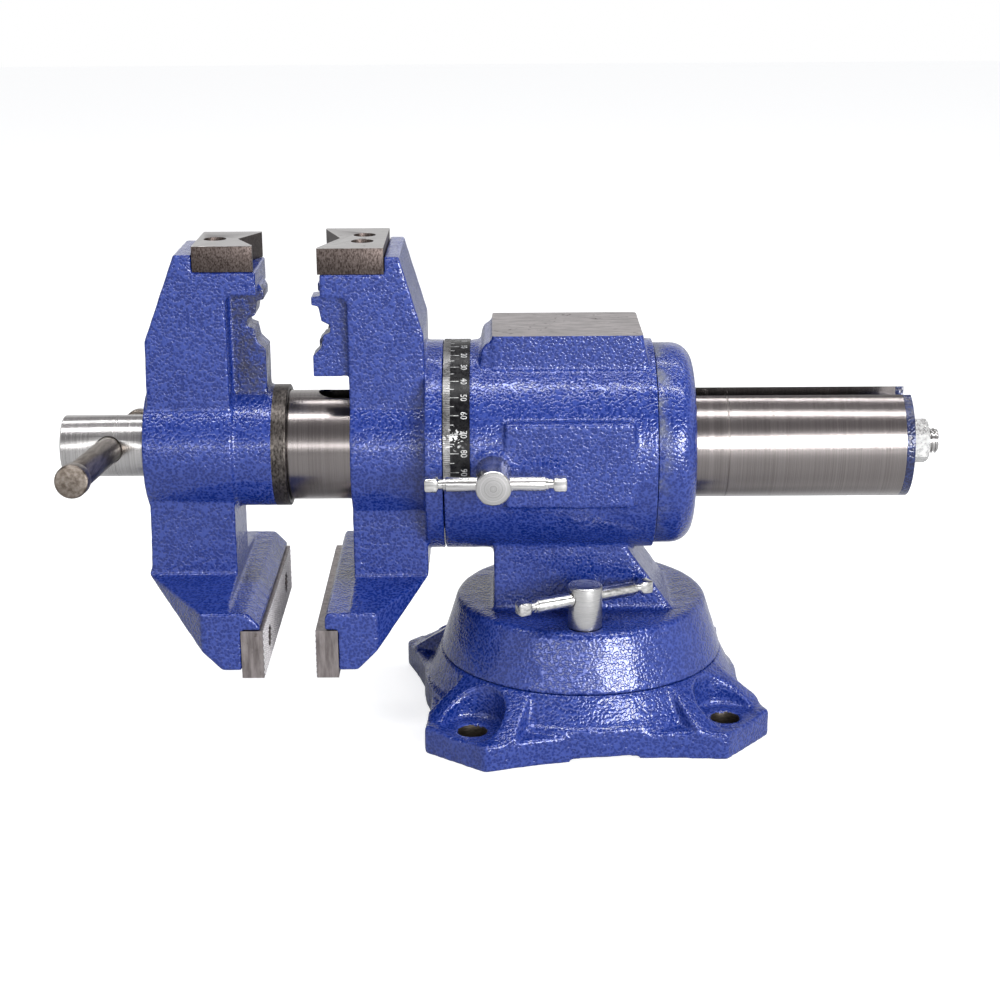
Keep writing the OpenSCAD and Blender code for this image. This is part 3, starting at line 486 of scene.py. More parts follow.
def make_strip_print():
    """Black print beside the silver edge, rubbed all over and flaked off round the scuff."""
    print_blur, scuff_core, scuff_reach = 0.05 * mm, 2.0 * mm, 7.5 * mm
    flake_grain, rub_grain = 620.0, 330.0
    material, tree, shader, place = new_material("printed scale strip", IOR=1.3)
    split = add_node(tree, "ShaderNodeSeparateXYZ", {0: place})
    bare = ease(tree, split.outputs[0], silver_edge - print_blur, silver_edge + print_blur,
        1.0, 0.0)
    scuffed = add_node(tree, "ShaderNodeVectorMath", {0: place, 1: scuff}, operation="DISTANCE")
    near = ease(tree, scuffed.outputs["Value"], scuff_core, scuff_reach, 1.0, 0.0)
    flakes = ease(tree, noise(tree, place, flake_grain, 3.0), 0.56, 0.60)
    flakes = calc(tree, "MULTIPLY", flakes, near)
    rubbed = noise(tree, place, rub_grain, 5.0, 0.7)
    black = blend_colour(tree, ease(tree, rubbed, 0.45, 0.75), (0.003, 0.003, 0.004, 1),
        (0.016, 0.016, 0.018, 1))
    silver = blend_colour(tree, ease(tree, rubbed, 0.3, 0.7), (0.15, 0.15, 0.15, 1),
        (0.34, 0.335, 0.335, 1))
    tone = blend_colour(tree, bare, black, silver)
    tone = blend_colour(tree, flakes, tone, (0.8, 0.8, 0.8, 1))
    tree.links.new(tone, shader["Base Color"])
    tree.links.new(calc(tree, "MULTIPLY", bare, 0.85), shader["Metallic"])
    tree.links.new(ease(tree, rubbed, 0.3, 0.8, 0.22, 0.5), shader["Roughness"])
    bump = add_node(tree, "ShaderNodeBump", {"Distance": 0.02 * mm, "Height": rubbed})
    tree.links.new(bump.outputs[0], shader["Normal"])
    return material


def make_ink(name, low, high):
    wear_grain = 900.0
    material, tree, shader, place = new_material(name, Roughness=0.45)
    wear = noise(tree, place, wear_grain, 4.0, 0.7)
    tree.links.new(blend_colour(tree, ease(tree, wear, 0.35, 0.6), low, high),
        shader["Base Color"])
    return material


finish_node("degree_scale", make_strip_print())
white_ink = make_ink("white print", (0.22, 0.22, 0.22, 1), (0.62, 0.62, 0.61, 1))
black_ink = make_ink("black print", (0.09, 0.09, 0.09, 1), (0.02, 0.02, 0.02, 1))
arc_marks = make_arc_marks()
for label, count, step, start, length, width, colour in (
        ("degree_marks", 181, 1, silver_edge - 3.1 * mm, 3.1 * mm, 0.26 * mm, black_ink),
        ("five_degree_marks", 37, 5, silver_edge, 1.9 * mm, 0.30 * mm, white_ink),
        ("ten_degree_marks", 19, 10, silver_edge, 4.0 * mm, 0.34 * mm, white_ink)):
    marks = new_piece(label, bpy.data.meshes.new(label))
    run_tree(marks, arc_marks, {"Count": count, "First": -math.pi / 2,
        "Step": math.radians(step), "Radius": scale_face, "Height of axis": axis_height,
        "Place": start + length / 2, "Size": (length, width, ink), "Material": colour})
    carry(marks, "swivel", "printed_scale")

digits = bmesh.new()
number_place = -55.9 * mm
for degrees in range(-90, 91, 10):
    lettering = bpy.data.curves.new("number", "FONT")
    lettering.body = str(abs(degrees))
    lettering.size = digit_size
    lettering.align_x = "CENTER"
    lettering.align_y = "CENTER"
    lettering.extrude = ink / 2
    lettering.resolution_u = 3
    written = new_piece("number", lettering)
    drawn = bpy.data.meshes.new_from_object(
        written.evaluated_get(bpy.context.evaluated_depsgraph_get()))
    for vertex in drawn.vertices:
        angle = math.radians(degrees) + digit_width * vertex.co.x / scale_face
        height = scale_face + vertex.co.z
        vertex.co = (number_place + vertex.co.y, -height * math.sin(angle),
            axis_height + height * math.cos(angle))
    digits.from_mesh(drawn)
    bpy.data.objects.remove(written)
bmesh.ops.remove_doubles(digits, verts=digits.verts, dist=0.001 * mm)
bmesh.ops.recalc_face_normals(digits, faces=digits.faces)
digit_mesh = mesh_of(digits, "scale_numbers")
digit_mesh.materials.append(white_ink)
carry(new_piece("scale_numbers", digit_mesh), "swivel", "printed_scale")

# Locking bolts and pad: turned steel, all out of sight. The T heads of the bolts run in the
# groove of the base plate, and the pad lies between the head lock screw and the hub.
for node in ("t_bolt_front", "t_bolt_rear", "head_lock_pad"):
    finish_node(node, turned)

# Rotating jaw: one iron casting with the flange and hub that turn in the drum. The hub is
# machined, and the toothed prongs are painted with the rest and soiled by use.
mouth_front, mouth_rear = -161 * mm, -112 * mm
mouth_low, mouth_high = 166 * mm, 214 * mm
flange_front = -66.4 * mm
prong_half = 23 * mm
soiled_front, soiled_low, soiled_high = -110 * mm, 171 * mm, 209 * mm


def toothed(p):
    """Round the pipe mouth of both jaws, where the teeth stay sharp."""
    return ((p[:, 0] > mouth_front) & (p[:, 0] < mouth_rear) & (p[:, 2] > mouth_low)
        & (p[:, 2] < mouth_high))


worn_blue = enamel("blue enamel, soiled", (0.001, 0.008, 0.080, 1), (0.022, 0.046, 0.24, 1), 0.75)
rotating_casting = poured("rotating_jaw", "rotating_jaw_casting", (blue, worn_blue),
    voxel=0.55 * mm, crisp=lambda p: toothed(p) | (p[:, 0] > flange_front))
mark_faces(rotating_casting, 1, lambda c: (c[:, 0] < soiled_front) & (c[:, 2] > soiled_low)
    & (c[:, 2] < soiled_high) & (np.abs(c[:, 1]) < prong_half))
carry(rotating_casting, "head", "hammered_paint", "rotating_jaw")

# Rear cap: a turned cap that holds the head in the drum, painted after fitting. Its enamel has
# pale grey specks along the joint, fewer towards the bottom. Its four socket screws are blackened
# steel.


def join_flats(shape):
    bmesh.ops.dissolve_limit(shape, angle_limit=math.radians(0.4), verts=shape.verts,
        edges=shape.edges)


def broken_edges(node, name, materials, width):
    """A copy of a solid with its sharp edges broken, as a turned or ground piece has them."""
    piece = merged_copy(node, name, join_flats)
    edge = piece.modifiers.new("edge", "BEVEL")
    edge.width = width
    edge.segments = 2
    edge.limit_method = "ANGLE"
    edge.angle_limit = math.radians(32)
    edge.use_clamp_overlap = True
    settle(piece)
    for material in materials:
        piece.data.materials.append(material)
    piece.data.shade_smooth()
    piece.data.set_sharp_from_angle(angle=math.radians(28))
    return piece


def make_cap_paint():
    """The enamel, with pale grey specks from the joint with the drum to a clean line, fewer
    towards the bottom.
    """
    joint, clean = 33.6 * mm, 42 * mm
    bottom, top, bottom_share = axis_height - 30 * mm, axis_height + 5 * mm, 0.35
    material = enamel("blue enamel, grey specks at the joint", (0.001, 0.014, 0.140, 1),
        (0.030, 0.056, 0.27, 1), soil=(0.13, 0.14, 0.17, 1))
    tree = material.node_tree
    place = find_node(tree, "TEX_COORD").outputs["Object"]
    split = add_node(tree, "ShaderNodeSeparateXYZ", {0: place})
    near = ease(tree, split.outputs[0], joint, clean, 1.0, 0.0)
    share = ease(tree, split.outputs[2], bottom, top, bottom_share, 1.0)
    tree.links.new(calc(tree, "MULTIPLY", near, share), find_node(tree, "GROUP").inputs["Grime"])
    return material


carry(broken_edges("rear_cap", "rear_cap_turned", (make_cap_paint(),), 0.5 * mm), "head",
    "hammered_paint", "rear_cap")


def close_rings(shape, loops):
    """Joins a row of rings into a solid with flat ends."""
    for low, high in zip(loops, loops[1:]):
        for k in range(len(low)):
            m = (k + 1) % len(low)
            shape.faces.new((low[k], low[m], high[m], high[k]))
    shape.faces.new(loops[0][::-1])
    shape.faces.new(loops[-1])


def socket_screw(name, head_radius, head_height, shank_radius, shank_length, key):
    """A socket head screw along Z with the top of its head at the origin."""
    sides = 48
    chamfer, key_chamfer = 0.45 * mm, 0.35 * mm
    depth = 0.6 * head_height
    turn = [2 * math.pi * k / sides for k in range(sides)]
    hexagon = [key / 2 / math.cos((a + math.pi / 6) % (math.pi / 3) - math.pi / 6) for a in turn]
    rings = [([shank_radius] * sides, -head_height - shank_length),
        ([shank_radius] * sides, -head_height), ([head_radius] * sides, -head_height),
        ([head_radius] * sides, -chamfer), ([head_radius - chamfer] * sides, 0.0),
        ([h + key_chamfer for h in hexagon], 0.0), (hexagon, -key_chamfer), (hexagon, -depth)]
    shape = bmesh.new()
    loops = [[shape.verts.new((r * math.cos(a), r * math.sin(a), z)) for r, a in zip(radii, turn)]
        for radii, z in rings]
    close_rings(shape, loops)
    return mesh_of(shape, name)


def make_screw_tree():
    """Puts one screw at each point of the mesh, turned as asked."""
    tree, given, out = new_shape_tree("Screws at points", Points="Geometry", Screw="Object",
        Turn="Vector")
    screw = add_node(tree, "GeometryNodeObjectInfo", {"Object": given["Screw"]})
    set_in = add_node(tree, "GeometryNodeInstanceOnPoints", {"Points": given["Points"],
        "Instance": screw.outputs["Geometry"], "Rotation": given["Turn"]})
    real = add_node(tree, "GeometryNodeRealizeInstances", {"Geometry": set_in.outputs[0]})
    return hand_out(tree, real, given, out)


screw_tree = make_screw_tree()
blackened = steel("blackened steel", (0.010, 0.009, 0.009, 1), (0.030, 0.028, 0.027, 1),
    marks=(900, 900, 900), dull=0.48, metal=0.3)


def screws(name, body, node, master_mesh, points, turn):
    """Sets blackened screws at the points, in place of a node's plain ones."""
    master = new_piece(name + "_master", master_mesh)
    spots = bpy.data.meshes.new(name)
    spots.from_pydata(points, [], [])
    piece = new_piece(name, spots)
    run_tree(piece, screw_tree, {"Screw": master, "Turn": turn, "Material": blackened})
    bpy.data.objects.remove(master)
    piece.data.shade_smooth()
    piece.data.set_sharp_from_angle(angle=math.radians(35))
    carry(piece, body, "black_steel", node)


cap_ring = 33.15 * mm
cap_face = 51.35 * mm
screws("cap_screws_turned", "head", "cap_screws",
    socket_screw("cap_screw", head_radius=5 * mm, head_height=5.9 * mm, shank_radius=3 * mm,
        shank_length=26 * mm, key=5 * mm),
    [(cap_face, -cap_ring * math.sin(math.radians(a)), axis_height
        + cap_ring * math.cos(math.radians(a))) for a in (45, 135, 225, 315)],
    (0, math.pi / 2, 0))

# Nut of the main screw: a block of hardened steel that the screw runs through, inside the
# guide bar. The lug that holds it comes up through the slot of the bar.
hardened = steel("hardened steel", (0.085, 0.070, 0.062, 1), (0.20, 0.175, 0.16, 1),
    marks=(500, 500, 1300), dull=0.28, stain=0.7)
finish_node("screw_nut", hardened)

# Flat jaw plates: hardened steel, ground all round, with a face of diamond serrations
# milled by crossed grooves. Two sunk socket screws hold each on its seat.
plate_width = 125 * mm
plate_height = 23.2 * mm
plate_thickness = 10.8 * mm
plate_top = axis_height - 72.1 * mm
plate_middle_z = plate_top - plate_height / 2
front_face = -148.8 * mm
rear_face = -125.5 * mm
plate_screw_y = 37.5 * mm
groove_pitch = 1.5 * mm
groove_depth = 0.95 * mm
milled_depth = 0.98 * mm
points_across, points_up = 251, 47
head_sunk = 2.5 * mm
seat_radius, seat_depth = 5.2 * mm, 7.5 * mm
hole_radius, hole_depth = 3.05 * mm, 14 * mm


def make_serrations():
    """A block whose +X face is cut by two sets of crossed grooves."""
    groove_floor = -0.92
    tree, given, out = new_shape_tree("Diamond serrations", Size="Vector", Across="Int",
        Up="Int", Pitch="Float", Depth="Float")
    block = add_node(tree, "GeometryNodeMeshCube", {"Size": given["Size"],
        "Vertices X": 2, "Vertices Y": given["Across"], "Vertices Z": given["Up"]})
    spot = tree.nodes.new("GeometryNodeInputPosition").outputs[0]
    split = add_node(tree, "ShaderNodeSeparateXYZ", {0: spot}).outputs
    grooves = []
    for way in ("ADD", "SUBTRACT"):
        along = calc(tree, way, split[1], split[2])
        grooves.append(calc(tree, "PINGPONG", along, given["Pitch"]))
    deepest = calc(tree, "MINIMUM", *grooves)
    share = calc(tree, "SUBTRACT", calc(tree, "DIVIDE", deepest, given["Pitch"]), 1.0)
    share = calc(tree, "MAXIMUM", share, groove_floor)
    sink = calc(tree, "MULTIPLY", share, given["Depth"])
    move = add_node(tree, "ShaderNodeCombineXYZ", {0: sink})
    front = calc(tree, "GREATER_THAN", split[0], 0.0)
    cut_face = add_node(tree, "GeometryNodeSetPosition", {"Geometry": block.outputs[0],
        "Selection": front, "Offset": move.outputs[0]})
    return hand_out(tree, cut_face, given, out)


def rod(name, radius, start, end):
    """A plain round bar between two points."""
    sides = 48
    shape = bmesh.new()
    turn = (end - start).to_track_quat("Z", "Y").to_matrix().to_4x4()
    bmesh.ops.create_cone(shape, cap_ends=True, segments=sides, radius1=radius, radius2=radius,
        depth=(end - start).length, matrix=Matrix.Translation((start + end) / 2) @ turn)
    return new_piece(name, mesh_of(shape, name))


def cut_away(piece, tools, operation="DIFFERENCE"):
    """Cuts the tools out of the piece, or all but them, and clears them away."""
    for tool in tools:
        knife = piece.modifiers.new("cut", "BOOLEAN")
        knife.operation = operation
        knife.solver = "MANIFOLD"
        knife.object = tool
    settle(piece)
    for tool in tools:
        bpy.data.objects.remove(tool)


plate_steel = steel("plate steel", (0.155, 0.135, 0.132, 1), (0.34, 0.305, 0.30, 1),
    marks=(420, 420, 60), dull=0.26, stain=0.8, soil=(0.05, 0.032, 0.022, 1))


def make_serrated_steel(face, way):
    """The milled face is pale and dull on its points, partly its own grey and partly a painted
    reflection of the lit paper, with shade painted dark down in its grooves.
    """
    # Painted reflection: the points are paler than steel, partly for the lit paper that they
    # mirror
    material = steel("serrated steel, painted reflection and groove shade", (0.66, 0.63, 0.64, 1), (0.92, 0.89, 0.90, 1),
        marks=(500, 500, 500), dull=0.4, stain=0.5, metal=0.35)
    tree = material.node_tree
    place = find_node(tree, "TEX_COORD").outputs["Object"]
    split = add_node(tree, "ShaderNodeSeparateXYZ", {0: place})
    shade_below, shade_ends_above = 0.85 * mm, 0.25 * mm
    # Painted shade: below a depth the grooves go near black
    groove_shade = ease(tree, split.outputs[0], face - way * shade_below, face - way * shade_ends_above,
        1.0, 0.0)
    tone = blend_colour(tree, groove_shade, find_node(tree, "GROUP").outputs["Color"],
        (0.045, 0.04, 0.04, 1))
    tree.links.new(tone, find_node(tree, "BSDF_PRINCIPLED").inputs["Base Color"])
    return material


serrations = make_serrations()
for side, face, way, body in (("front", front_face, 1, "slide"), ("rear", rear_face, -1, "head")):
    plate = new_piece(side + "_flat_plate_milled", bpy.data.meshes.new("plate"))
    run_tree(plate, serrations, {"Size": (plate_thickness, plate_width, plate_height),
        "Across": points_across, "Up": points_up, "Pitch": groove_pitch, "Depth": groove_depth,
        "Material": plate_steel})
    place = Matrix.Translation((face - way * plate_thickness / 2, 0, plate_middle_z))
    plate.data.transform(place @ Matrix.Rotation(0 if way > 0 else math.pi, 4, "Z"))
    tools = []
    for y in (-plate_screw_y, plate_screw_y):
        spot = Vector((face, y, plate_middle_z))
        along = Vector((way, 0, 0))
        tools.append(rod("seat", seat_radius, spot + along * mm, spot - along * seat_depth))
        tools.append(rod("hole", hole_radius, spot + along * mm, spot - along * hole_depth))
    cut_away(plate, tools)
    plate.data.materials.clear()
    for material in (plate_steel, make_serrated_steel(face, way)):
        plate.data.materials.append(material)
    mark_faces(plate, 1, lambda c, x=face, w=way: w * (c[:, 0] - x) > -milled_depth)
    carry(plate, body, "jaw_steel", side + "_flat_plate")
    screws(side + "_flat_screws_turned", body, side + "_flat_screws",
        socket_screw("plate_screw", head_radius=4.9 * mm, head_height=5 * mm,
            shank_radius=3 * mm, shank_length=12 * mm, key=4 * mm),
        [(face - way * head_sunk, y, plate_middle_z) for y in (-plate_screw_y, plate_screw_y)],
        (0, way * math.pi / 2, 0))

# V plates: steel blocks with a V in the clamping face, dark with scale from hardening and
# brushed bright on top. Sunk socket screws hold them down on the jaws.
v_top = axis_height + 99.6 * mm
front_v_screw_x, rear_v_screw_x, rear_v_screw_y = -171.5 * mm, -102.3 * mm, 8.7 * mm
scaled_steel = steel("scaled steel", (0.030, 0.022, 0.019, 1), (0.125, 0.102, 0.095, 1),
    marks=(1700, 1700, 900), dull=0.34, stain=0.9, soil=(0.02, 0.014, 0.011, 1),
    depth=0.05 * mm)
brushed_steel = steel("brushed steel", (0.30, 0.29, 0.285, 1), (0.52, 0.505, 0.50, 1),
    marks=(90, 2200, 90), dull=0.24, stain=0.5, soil=(0.10, 0.085, 0.075, 1))
for side, body, points in (
        ("front", "slide", [(front_v_screw_x, 0)]),
        ("rear", "head", [(rear_v_screw_x, -rear_v_screw_y), (rear_v_screw_x, rear_v_screw_y)])):
    plate = broken_edges(side + "_v_plate", side + "_v_plate_ground",
        (scaled_steel, brushed_steel), 0.3 * mm)
    for face in plate.data.polygons:
        face.material_index = 1 if face.normal.z > 0.5 else 0
    carry(plate, body, "jaw_steel", side + "_v_plate")
    node = "front_v_screw" if side == "front" else "rear_v_screws"
    screws(node + "_turned", body, node,
        socket_screw("v_screw", head_radius=4.9 * mm, head_height=5 * mm,
            shank_radius=3 * mm, shank_length=15 * mm, key=4 * mm),
        [(x, y, v_top - head_sunk) for x, y in points], (0, 0, 0))

# Moving jaw: one iron casting with the toothed pipe web and the collar that holds the guide
# bar. The last of the collar was masked when it was painted, and is greasy bare iron.
greasy_iron = steel("greasy iron", (0.026, 0.023, 0.021, 1), (0.14, 0.125, 0.115, 1),
    marks=(1100, 500, 500), dull=0.3, stain=1.0, soil=(0.012, 0.009, 0.007, 1),
    depth=0.08 * mm)
collar_from, masked_from = -147.5 * mm, -146.4 * mm
collar_low, collar_high = 103 * mm, 162.4 * mm
web_front, web_low, web_high, web_half = -164 * mm, 158 * mm, 211 * mm, 10.2 * mm
moving_casting = poured("moving_jaw", "moving_jaw_casting", (blue, worn_blue, greasy_iron),
    voxel=0.55 * mm, crisp=lambda p: toothed(p) | (p[:, 0] > collar_from))
mark_faces(moving_casting, 1, lambda c: (c[:, 0] > web_front) & (c[:, 2] > web_low)
    & (c[:, 2] < web_high) & (np.abs(c[:, 1]) < web_half))
split_line = bmesh.new()
split_line.from_mesh(moving_casting.data)
bmesh.ops.bisect_plane(split_line, geom=split_line.verts[:] + split_line.edges[:]
    + split_line.faces[:], plane_co=(masked_from, 0, 0), plane_no=(1, 0, 0))
split_line.to_mesh(moving_casting.data)
split_line.free()
mark_faces(moving_casting, 2, lambda c: (c[:, 0] > masked_from) & (c[:, 2] < collar_high)
    & (c[:, 2] > collar_low))
carry(moving_casting, "slide", "hammered_paint", "moving_jaw")

# Guide bar: a thick steel tube, turned and ground, with a long slot milled in its top. It is
# closed at the rear end by a painted plate that carries the end of the screw.
bar_centre = (0, 0, axis_height)
ground_bar = steel("ground bar", (0.175, 0.158, 0.154, 1), (0.275, 0.252, 0.248, 1),
    marks=(60, 5200, 60), dull=0.13, stain=0.6, depth=0.004 * mm, centre=bar_centre, axis=0)
carry(broken_edges("guide_bar", "guide_bar_ground", (ground_bar,), 0.5 * mm), "slide",
    "ground_bar", "guide_bar")
dark_blue = enamel("dark blue enamel", (0.002, 0.005, 0.045, 1), (0.02, 0.035, 0.13, 1), 0.5)
carry(broken_edges("bar_end_plate", "bar_end_plate_turned", (dark_blue,), 0.5 * mm), "slide",
    "hammered_paint", "bar_end_plate")

# Main screw: turned from one steel bar, with a cross hole for the handle in its head, a square
# thread inside the guide bar and a small stud at the rear end.


def thread_cut(name, radius, depth, pitch, start, end, share):
    """The groove of a thread along X, as a solid to be cut away. The share is the part of the
    pitch that the mouth of the groove takes."""
    sides = 32
    steps = int((end - start) / pitch * sides)
    outside, inside = radius + 0.6 * mm, radius - depth
    half_mouth, half_root = 0.5, 0.32
    outline = [(outside, -half_mouth), (outside, half_mouth), (inside, half_root),
        (inside, -half_root)]
    shape = bmesh.new()
    last = None
    for k in range(steps + 1):
        a = 2 * math.pi * k / sides
        ring = [shape.verts.new((start + pitch * (k / sides + v * share), -r * math.sin(a),
            axis_height + r * math.cos(a))) for r, v in outline]
        if last is None:
            shape.faces.new(ring)
        else:
            for m in range(4):
                shape.faces.new((last[m], last[(m + 1) % 4], ring[(m + 1) % 4], ring[m]))
        last = ring
    shape.faces.new(last[::-1])
    bmesh.ops.recalc_face_normals(shape, faces=shape.faces)
    return new_piece(name, mesh_of(shape, name))


head_steel = steel("screw head steel", (0.36, 0.35, 0.345, 1), (0.56, 0.55, 0.545, 1),
    marks=(120, 3600, 120), dull=0.15, stain=0.6, depth=0.006 * mm, centre=bar_centre, axis=0)
screw = broken_edges("main_screw", "main_screw_turned", (head_steel,), 0.4 * mm)
cut_away(screw, [
    thread_cut("thread", radius=12 * mm, depth=2.4 * mm, pitch=5 * mm, start=-160 * mm,
        end=138 * mm, share=0.5),
    thread_cut("stud_thread", radius=6 * mm, depth=0.9 * mm, pitch=1.75 * mm,
        start=156 * mm, end=173 * mm, share=0.9)])
screw.data.shade_smooth()
screw.data.set_sharp_from_angle(angle=math.radians(28))
carry(screw, "screw", "turned_steel", "main_screw")

# Washers and nut: a turned thrust washer behind the screw head, and a pressed washer and a
# chamfered hexagon nut of steel on the stud, both plated with bright zinc.
zinc = steel("bright zinc", (0.42, 0.42, 0.42, 1), (0.70, 0.70, 0.69, 1),
    marks=(500, 500, 500), dull=0.2, stain=0.35, soil=(0.10, 0.095, 0.09, 1))
carry(broken_edges("thrust_washer", "thrust_washer_turned", (turned,), 0.25 * mm), "screw",
    "turned_steel", "thrust_washer")
carry(broken_edges("end_washer", "end_washer_pressed", (zinc,), 0.25 * mm), "screw",
    "zinc_plate", "end_washer")
end_nut = merged_copy("end_nut", "end_nut_chamfered")
nut_front, nut_rear = (v.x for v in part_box("end_nut"))
nut_flats = 19 * mm
nut_chamfer = 1 * mm
nut_corner = nut_flats / 2 / math.cos(math.pi / 6)
nut_inner, nut_outer = nut_corner - 1.2 * mm, nut_corner + 0.1 * mm
blank = bmesh.new()
outline = [(0, nut_front), (nut_inner, nut_front), (nut_outer, nut_front + nut_chamfer),
    (nut_outer, nut_rear - nut_chamfer), (nut_inner, nut_rear), (0, nut_rear)]
profile = [blank.verts.new((x, 0, axis_height + r)) for r, x in outline]
bmesh.ops.spin(blank, geom=profile + [blank.edges.new(p) for p in zip(profile, profile[1:])],
    cent=bar_centre, axis=(1, 0, 0), angle=2 * math.pi, steps=64, use_merge=True)
bmesh.ops.remove_doubles(blank, verts=blank.verts, dist=0.005 * mm)
bmesh.ops.recalc_face_normals(blank, faces=blank.faces)
cut_away(end_nut, [new_piece("blank", mesh_of(blank, "blank"))], "INTERSECT")
end_nut.data.materials.clear()
end_nut.data.materials.append(zinc)
carry(end_nut, "screw", "zinc_plate", "end_nut")

# Handle: a turned steel bar that slides through the screw head, browned by use. A turned end
# on each side stops it from sliding out.
handle_steel = steel("handle steel", (0.11, 0.088, 0.072, 1), (0.26, 0.228, 0.20, 1),
    marks=(500, 60, 500), dull=0.3, stain=0.9, soil=(0.07, 0.045, 0.03, 1))
carry(broken_edges("handle_bar", "handle_bar_turned", (handle_steel,), 0.3 * mm), "handle",
    "turned_steel", "handle_bar")
carry(broken_edges("handle_ends", "handle_ends_turned", (handle_steel,), 0.7 * mm), "handle",
    "turned_steel", "handle_ends")

# Lock screw and lock nuts: turned steel, zinc plated and cross-drilled for a tommy bar. The
# end of each shows the rings that the parting tool left.


def pinched_bar(name, length):
    """A tommy bar along X about the origin: each end is turned down to a neck, and its head is
    pinched square in a press."""
    half = length / 2
    broadest = 4 * mm
    # From the end inwards: how far along, the radius, and how square, in millimetres
    end = [(0.0, 2.3, 1.0), (0.4, 2.85, 1.0), (1.0, 3.1, 1.0), (4.6, 3.25, 1.0), (5.6, 3.05, 0.9),
        (6.3, 2.5, 0.3), (6.5, 2.35, 0.0), (8.3, 2.35, 0.0), (8.5, 2.85, 0.0), (9.5, 2.9, 0.0),
        (9.7, 3.2, 0.0), (9.95, 3.33, 0.0)]
    rings = [(-half + a * mm, r * mm, s) for a, r, s in end]
    rings += [(half - a * mm, r * mm, s) for a, r, s in reversed(end)]
    sides = 32
    shape = bmesh.new()
    loops = []
    for x, radius, square in rings:
        loop = []
        for k in range(sides):
            a = 2 * math.pi * (k + 0.5) / sides
            c, s = math.cos(a), math.sin(a)
            blunt = 1 / max(abs(c), abs(s))
            reach = min(radius * (1 + square * (blunt - 1)), broadest)
            loop.append(shape.verts.new((x, reach * c, reach * s)))
        loops.append(loop)
    close_rings(shape, loops)
    bmesh.ops.recalc_face_normals(shape, faces=shape.faces)
    mesh = mesh_of(shape, name)
    mesh.materials.append(bar_zinc)
    mesh.shade_smooth()
    mesh.set_sharp_from_angle(angle=math.radians(38))
    return new_piece(name, mesh)


bar_zinc = steel("bright zinc, drawn bar", (0.40, 0.40, 0.395, 1), (0.78, 0.77, 0.76, 1),
    marks=(70, 900, 900), dull=0.16, stain=0.4, soil=(0.12, 0.11, 0.10, 1), depth=0.03 * mm)
lock_x = -42.3 * mm
lock_bar_y = -68.7 * mm
head_bar_length, base_bar_length = 64 * mm, 71 * mm
bar_shift = 1 * mm
ring_zinc = steel("bright zinc, turned", (0.30, 0.30, 0.295, 1), (0.62, 0.61, 0.61, 1),
    marks=(950, 900, 0), dull=0.16, stain=0.3, soil=(0.12, 0.11, 0.10, 1), depth=0.05 * mm,
    centre=(lock_x, 0, axis_height), axis=1)
carry(broken_edges("head_lock_screw", "head_lock_screw_turned", (ring_zinc,), 0.5 * mm),
    "head_lock", "zinc_plate", "head_lock_screw")
head_tommy = pinched_bar("head_lock_bar_pinched", head_bar_length)
head_tommy.data.transform(Matrix.Translation((lock_x + bar_shift, lock_bar_y, axis_height)))
carry(head_tommy, "head_lock_tommy", "zinc_plate", "head_lock_bar")

lock_radius = 49.6 * mm
lock_bar_z = 71.7 * mm
lock_bar_turn = math.radians(27)
for side, way in (("front", -1), ("rear", 1)):
    rings = steel("bright zinc, turned, " + side, (0.46, 0.46, 0.455, 1), (0.62, 0.61, 0.61, 1),
        marks=(950, 9000, 0), dull=0.2, stain=0.35, soil=(0.12, 0.11, 0.10, 1),
        depth=0.002 * mm, centre=(0, way * lock_radius, 0), axis=2)
    nut = "base_lock_nut_" + side
    carry(broken_edges(nut, nut + "_turned", (rings,), 0.5 * mm), "base_lock_" + side,
        "zinc_plate", nut)
    tommy = pinched_bar("base_lock_bar_" + side + "_pinched", base_bar_length)
    tommy.data.transform(Matrix.Translation((0, way * lock_radius, lock_bar_z))
        @ Matrix.Rotation(lock_bar_turn, 4, "Z"))
    carry(tommy, "base_lock_" + side + "_tommy", "zinc_plate", "base_lock_bar_" + side)

# Studio: a sheet of white paper under the vise, and soft lamps. The key lamp stands to the
# right, and the long lamps in front and above draw the bright lines on the guide bar.


def lamp(name, azimuth, height_angle, away, width, height, radiance):
    """A soft box aimed at the vise, its azimuth counted from the front towards the right."""
    aim = Vector((0, 0, 0.12))
    light = bpy.data.lights.new(name, "AREA")
    light.shape = "RECTANGLE"
    light.size, light.size_y = width, height
    light.energy = radiance * math.pi * width * height
    piece = bpy.data.objects.new(name, light)
    a, e = math.radians(azimuth), math.radians(height_angle)
    out = Vector((math.sin(a) * math.cos(e), -math.cos(a) * math.cos(e), math.sin(e)))
    piece.location = aim + out * away
    piece.rotation_euler = out.to_track_quat("Z", "Y").to_euler()
    bpy.context.scene.collection.objects.link(piece)


lamp("key lamp", 29, 13, away=1.7, width=0.84, height=0.54, radiance=21.0)
lamp("front lamp", -11, 12, away=1.7, width=1.66, height=0.24, radiance=4.2)
lamp("top lamp", 0, 77.5, away=1.5, width=2.4, height=0.16, radiance=16.0)
lamp("back lamp", 180, 64, away=1.5, width=2.2, height=0.09, radiance=14.0)

floor_mesh = bpy.data.meshes.new("floor")
floor_reach = 4.0
floor_mesh.from_pydata([(-floor_reach, -floor_reach, 0), (floor_reach, -floor_reach, 0),
    (floor_reach, floor_reach, 0), (-floor_reach, floor_reach, 0)], [], [(0, 1, 2, 3)])
floor = new_piece("floor", floor_mesh)
floor_paper, tree = new_material("floor paper", Base_Color=(0.5, 0.5, 0.5, 1), Roughness=0.9)[:2]
rays = add_node(tree, "ShaderNodeLightPath").outputs
mirrored = calc(tree, "MAXIMUM", rays["Is Glossy Ray"], rays["Is Transmission Ray"])
camera_glow, mirrored_glow = 0.8, 0.12
shown = calc(tree, "MULTIPLY_ADD", rays["Is Camera Ray"], camera_glow,
    calc(tree, "MULTIPLY", mirrored, mirrored_glow))
glow = add_node(tree, "ShaderNodeEmission", {"Color": (1, 1, 1, 1), "Strength": shown})
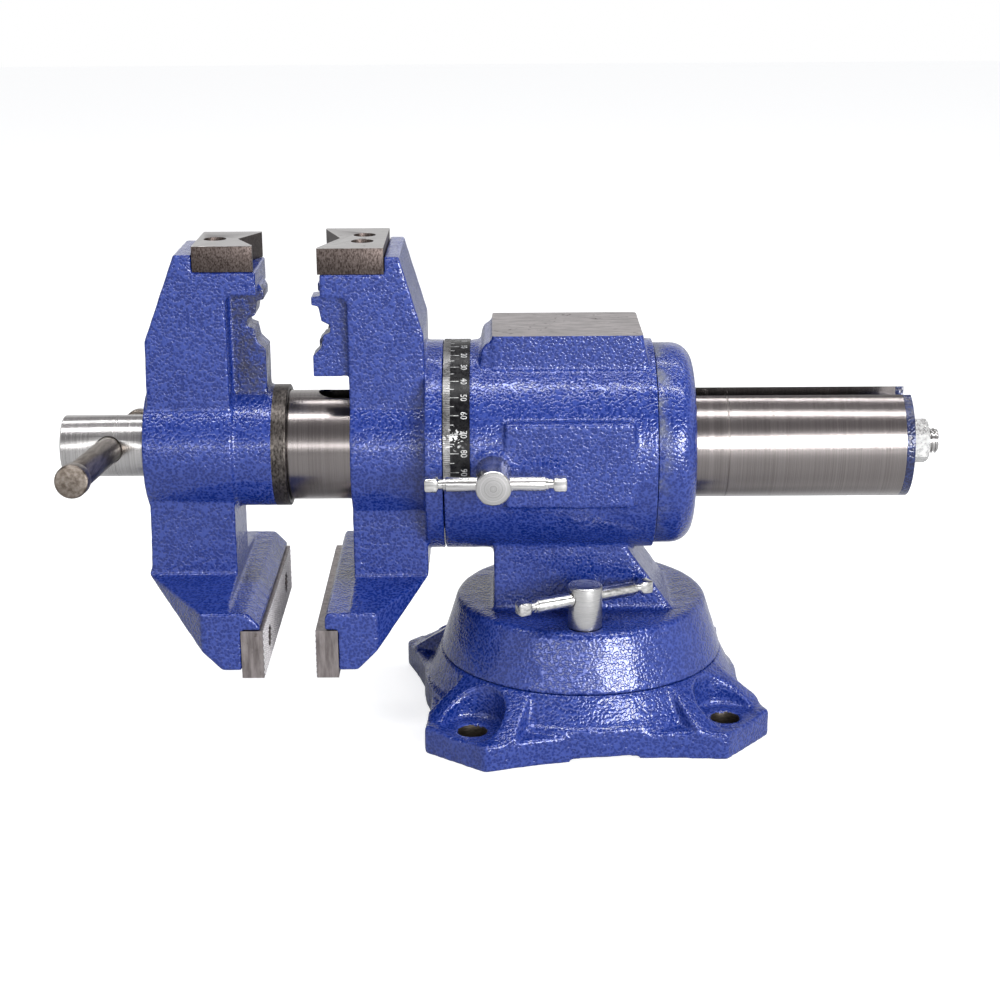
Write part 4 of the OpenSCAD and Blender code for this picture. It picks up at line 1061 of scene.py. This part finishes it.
lit = add_node(tree, "ShaderNodeAddShader",
    {0: find_node(tree, "BSDF_PRINCIPLED").outputs[0], 1: glow.outputs[0]})
tree.links.new(lit.outputs[0], tree.nodes["Material Output"].inputs["Surface"])
floor_mesh.materials.append(floor_paper)

world = bpy.data.worlds.new("studio")
bpy.context.scene.world = world
world.use_nodes = True
tree = world.node_tree
tree.nodes.clear()
rays = add_node(tree, "ShaderNodeLightPath").outputs
mirrored = calc(tree, "MAXIMUM", rays["Is Glossy Ray"], rays["Is Transmission Ray"])
seen = calc(tree, "MAXIMUM", rays["Is Camera Ray"], mirrored)
height = add_node(tree, "ShaderNodeSeparateXYZ",
    {0: add_node(tree, "ShaderNodeTexCoord").outputs["Generated"]}).outputs[2]
wall_top, ceiling_from = 0.22, 0.6
dim = calc(tree, "MULTIPLY", ease(tree, height, wall_top, ceiling_from), mirrored)
ceiling = blend_colour(tree, dim, (1, 1, 1, 1), (0.34, 0.33, 0.34, 1))
tone = blend_colour(tree, seen, (0.24, 0.25, 0.27, 1), ceiling)
sky = add_node(tree, "ShaderNodeBackground", {"Color": tone, "Strength": 1.0})
tree.links.new(sky.outputs[0], add_node(tree, "ShaderNodeOutputWorld").inputs["Surface"])

# Camera: a 70 mm lens on a stand in front of the vise, held higher than the anvil. It looks
# 17 degrees down on the drum.
camera_place = (-0.0394, -0.8984, 0.3811)
lens = bpy.data.cameras.new("camera")
lens.lens = 69.69
lens.sensor_width = 36.0
lens.clip_start = 0.01
camera = bpy.data.objects.new("camera", lens)
bpy.context.scene.collection.objects.link(camera)
pitch, roll = math.radians(17.14), math.radians(-0.35)
side, ahead = Vector((1, 0, 0)), Vector((0, math.cos(pitch), -math.sin(pitch)))
above = Vector((0, math.sin(pitch), math.cos(pitch)))
right = side * math.cos(roll) + above * math.sin(roll)
upward = above * math.cos(roll) - side * math.sin(roll)
camera.matrix_world = Matrix.Translation(camera_place) @ Matrix(
    (right, upward, -ahead)).transposed().to_4x4()
bpy.context.scene.camera = camera
bpy.context.scene.view_settings.view_transform = "Standard"
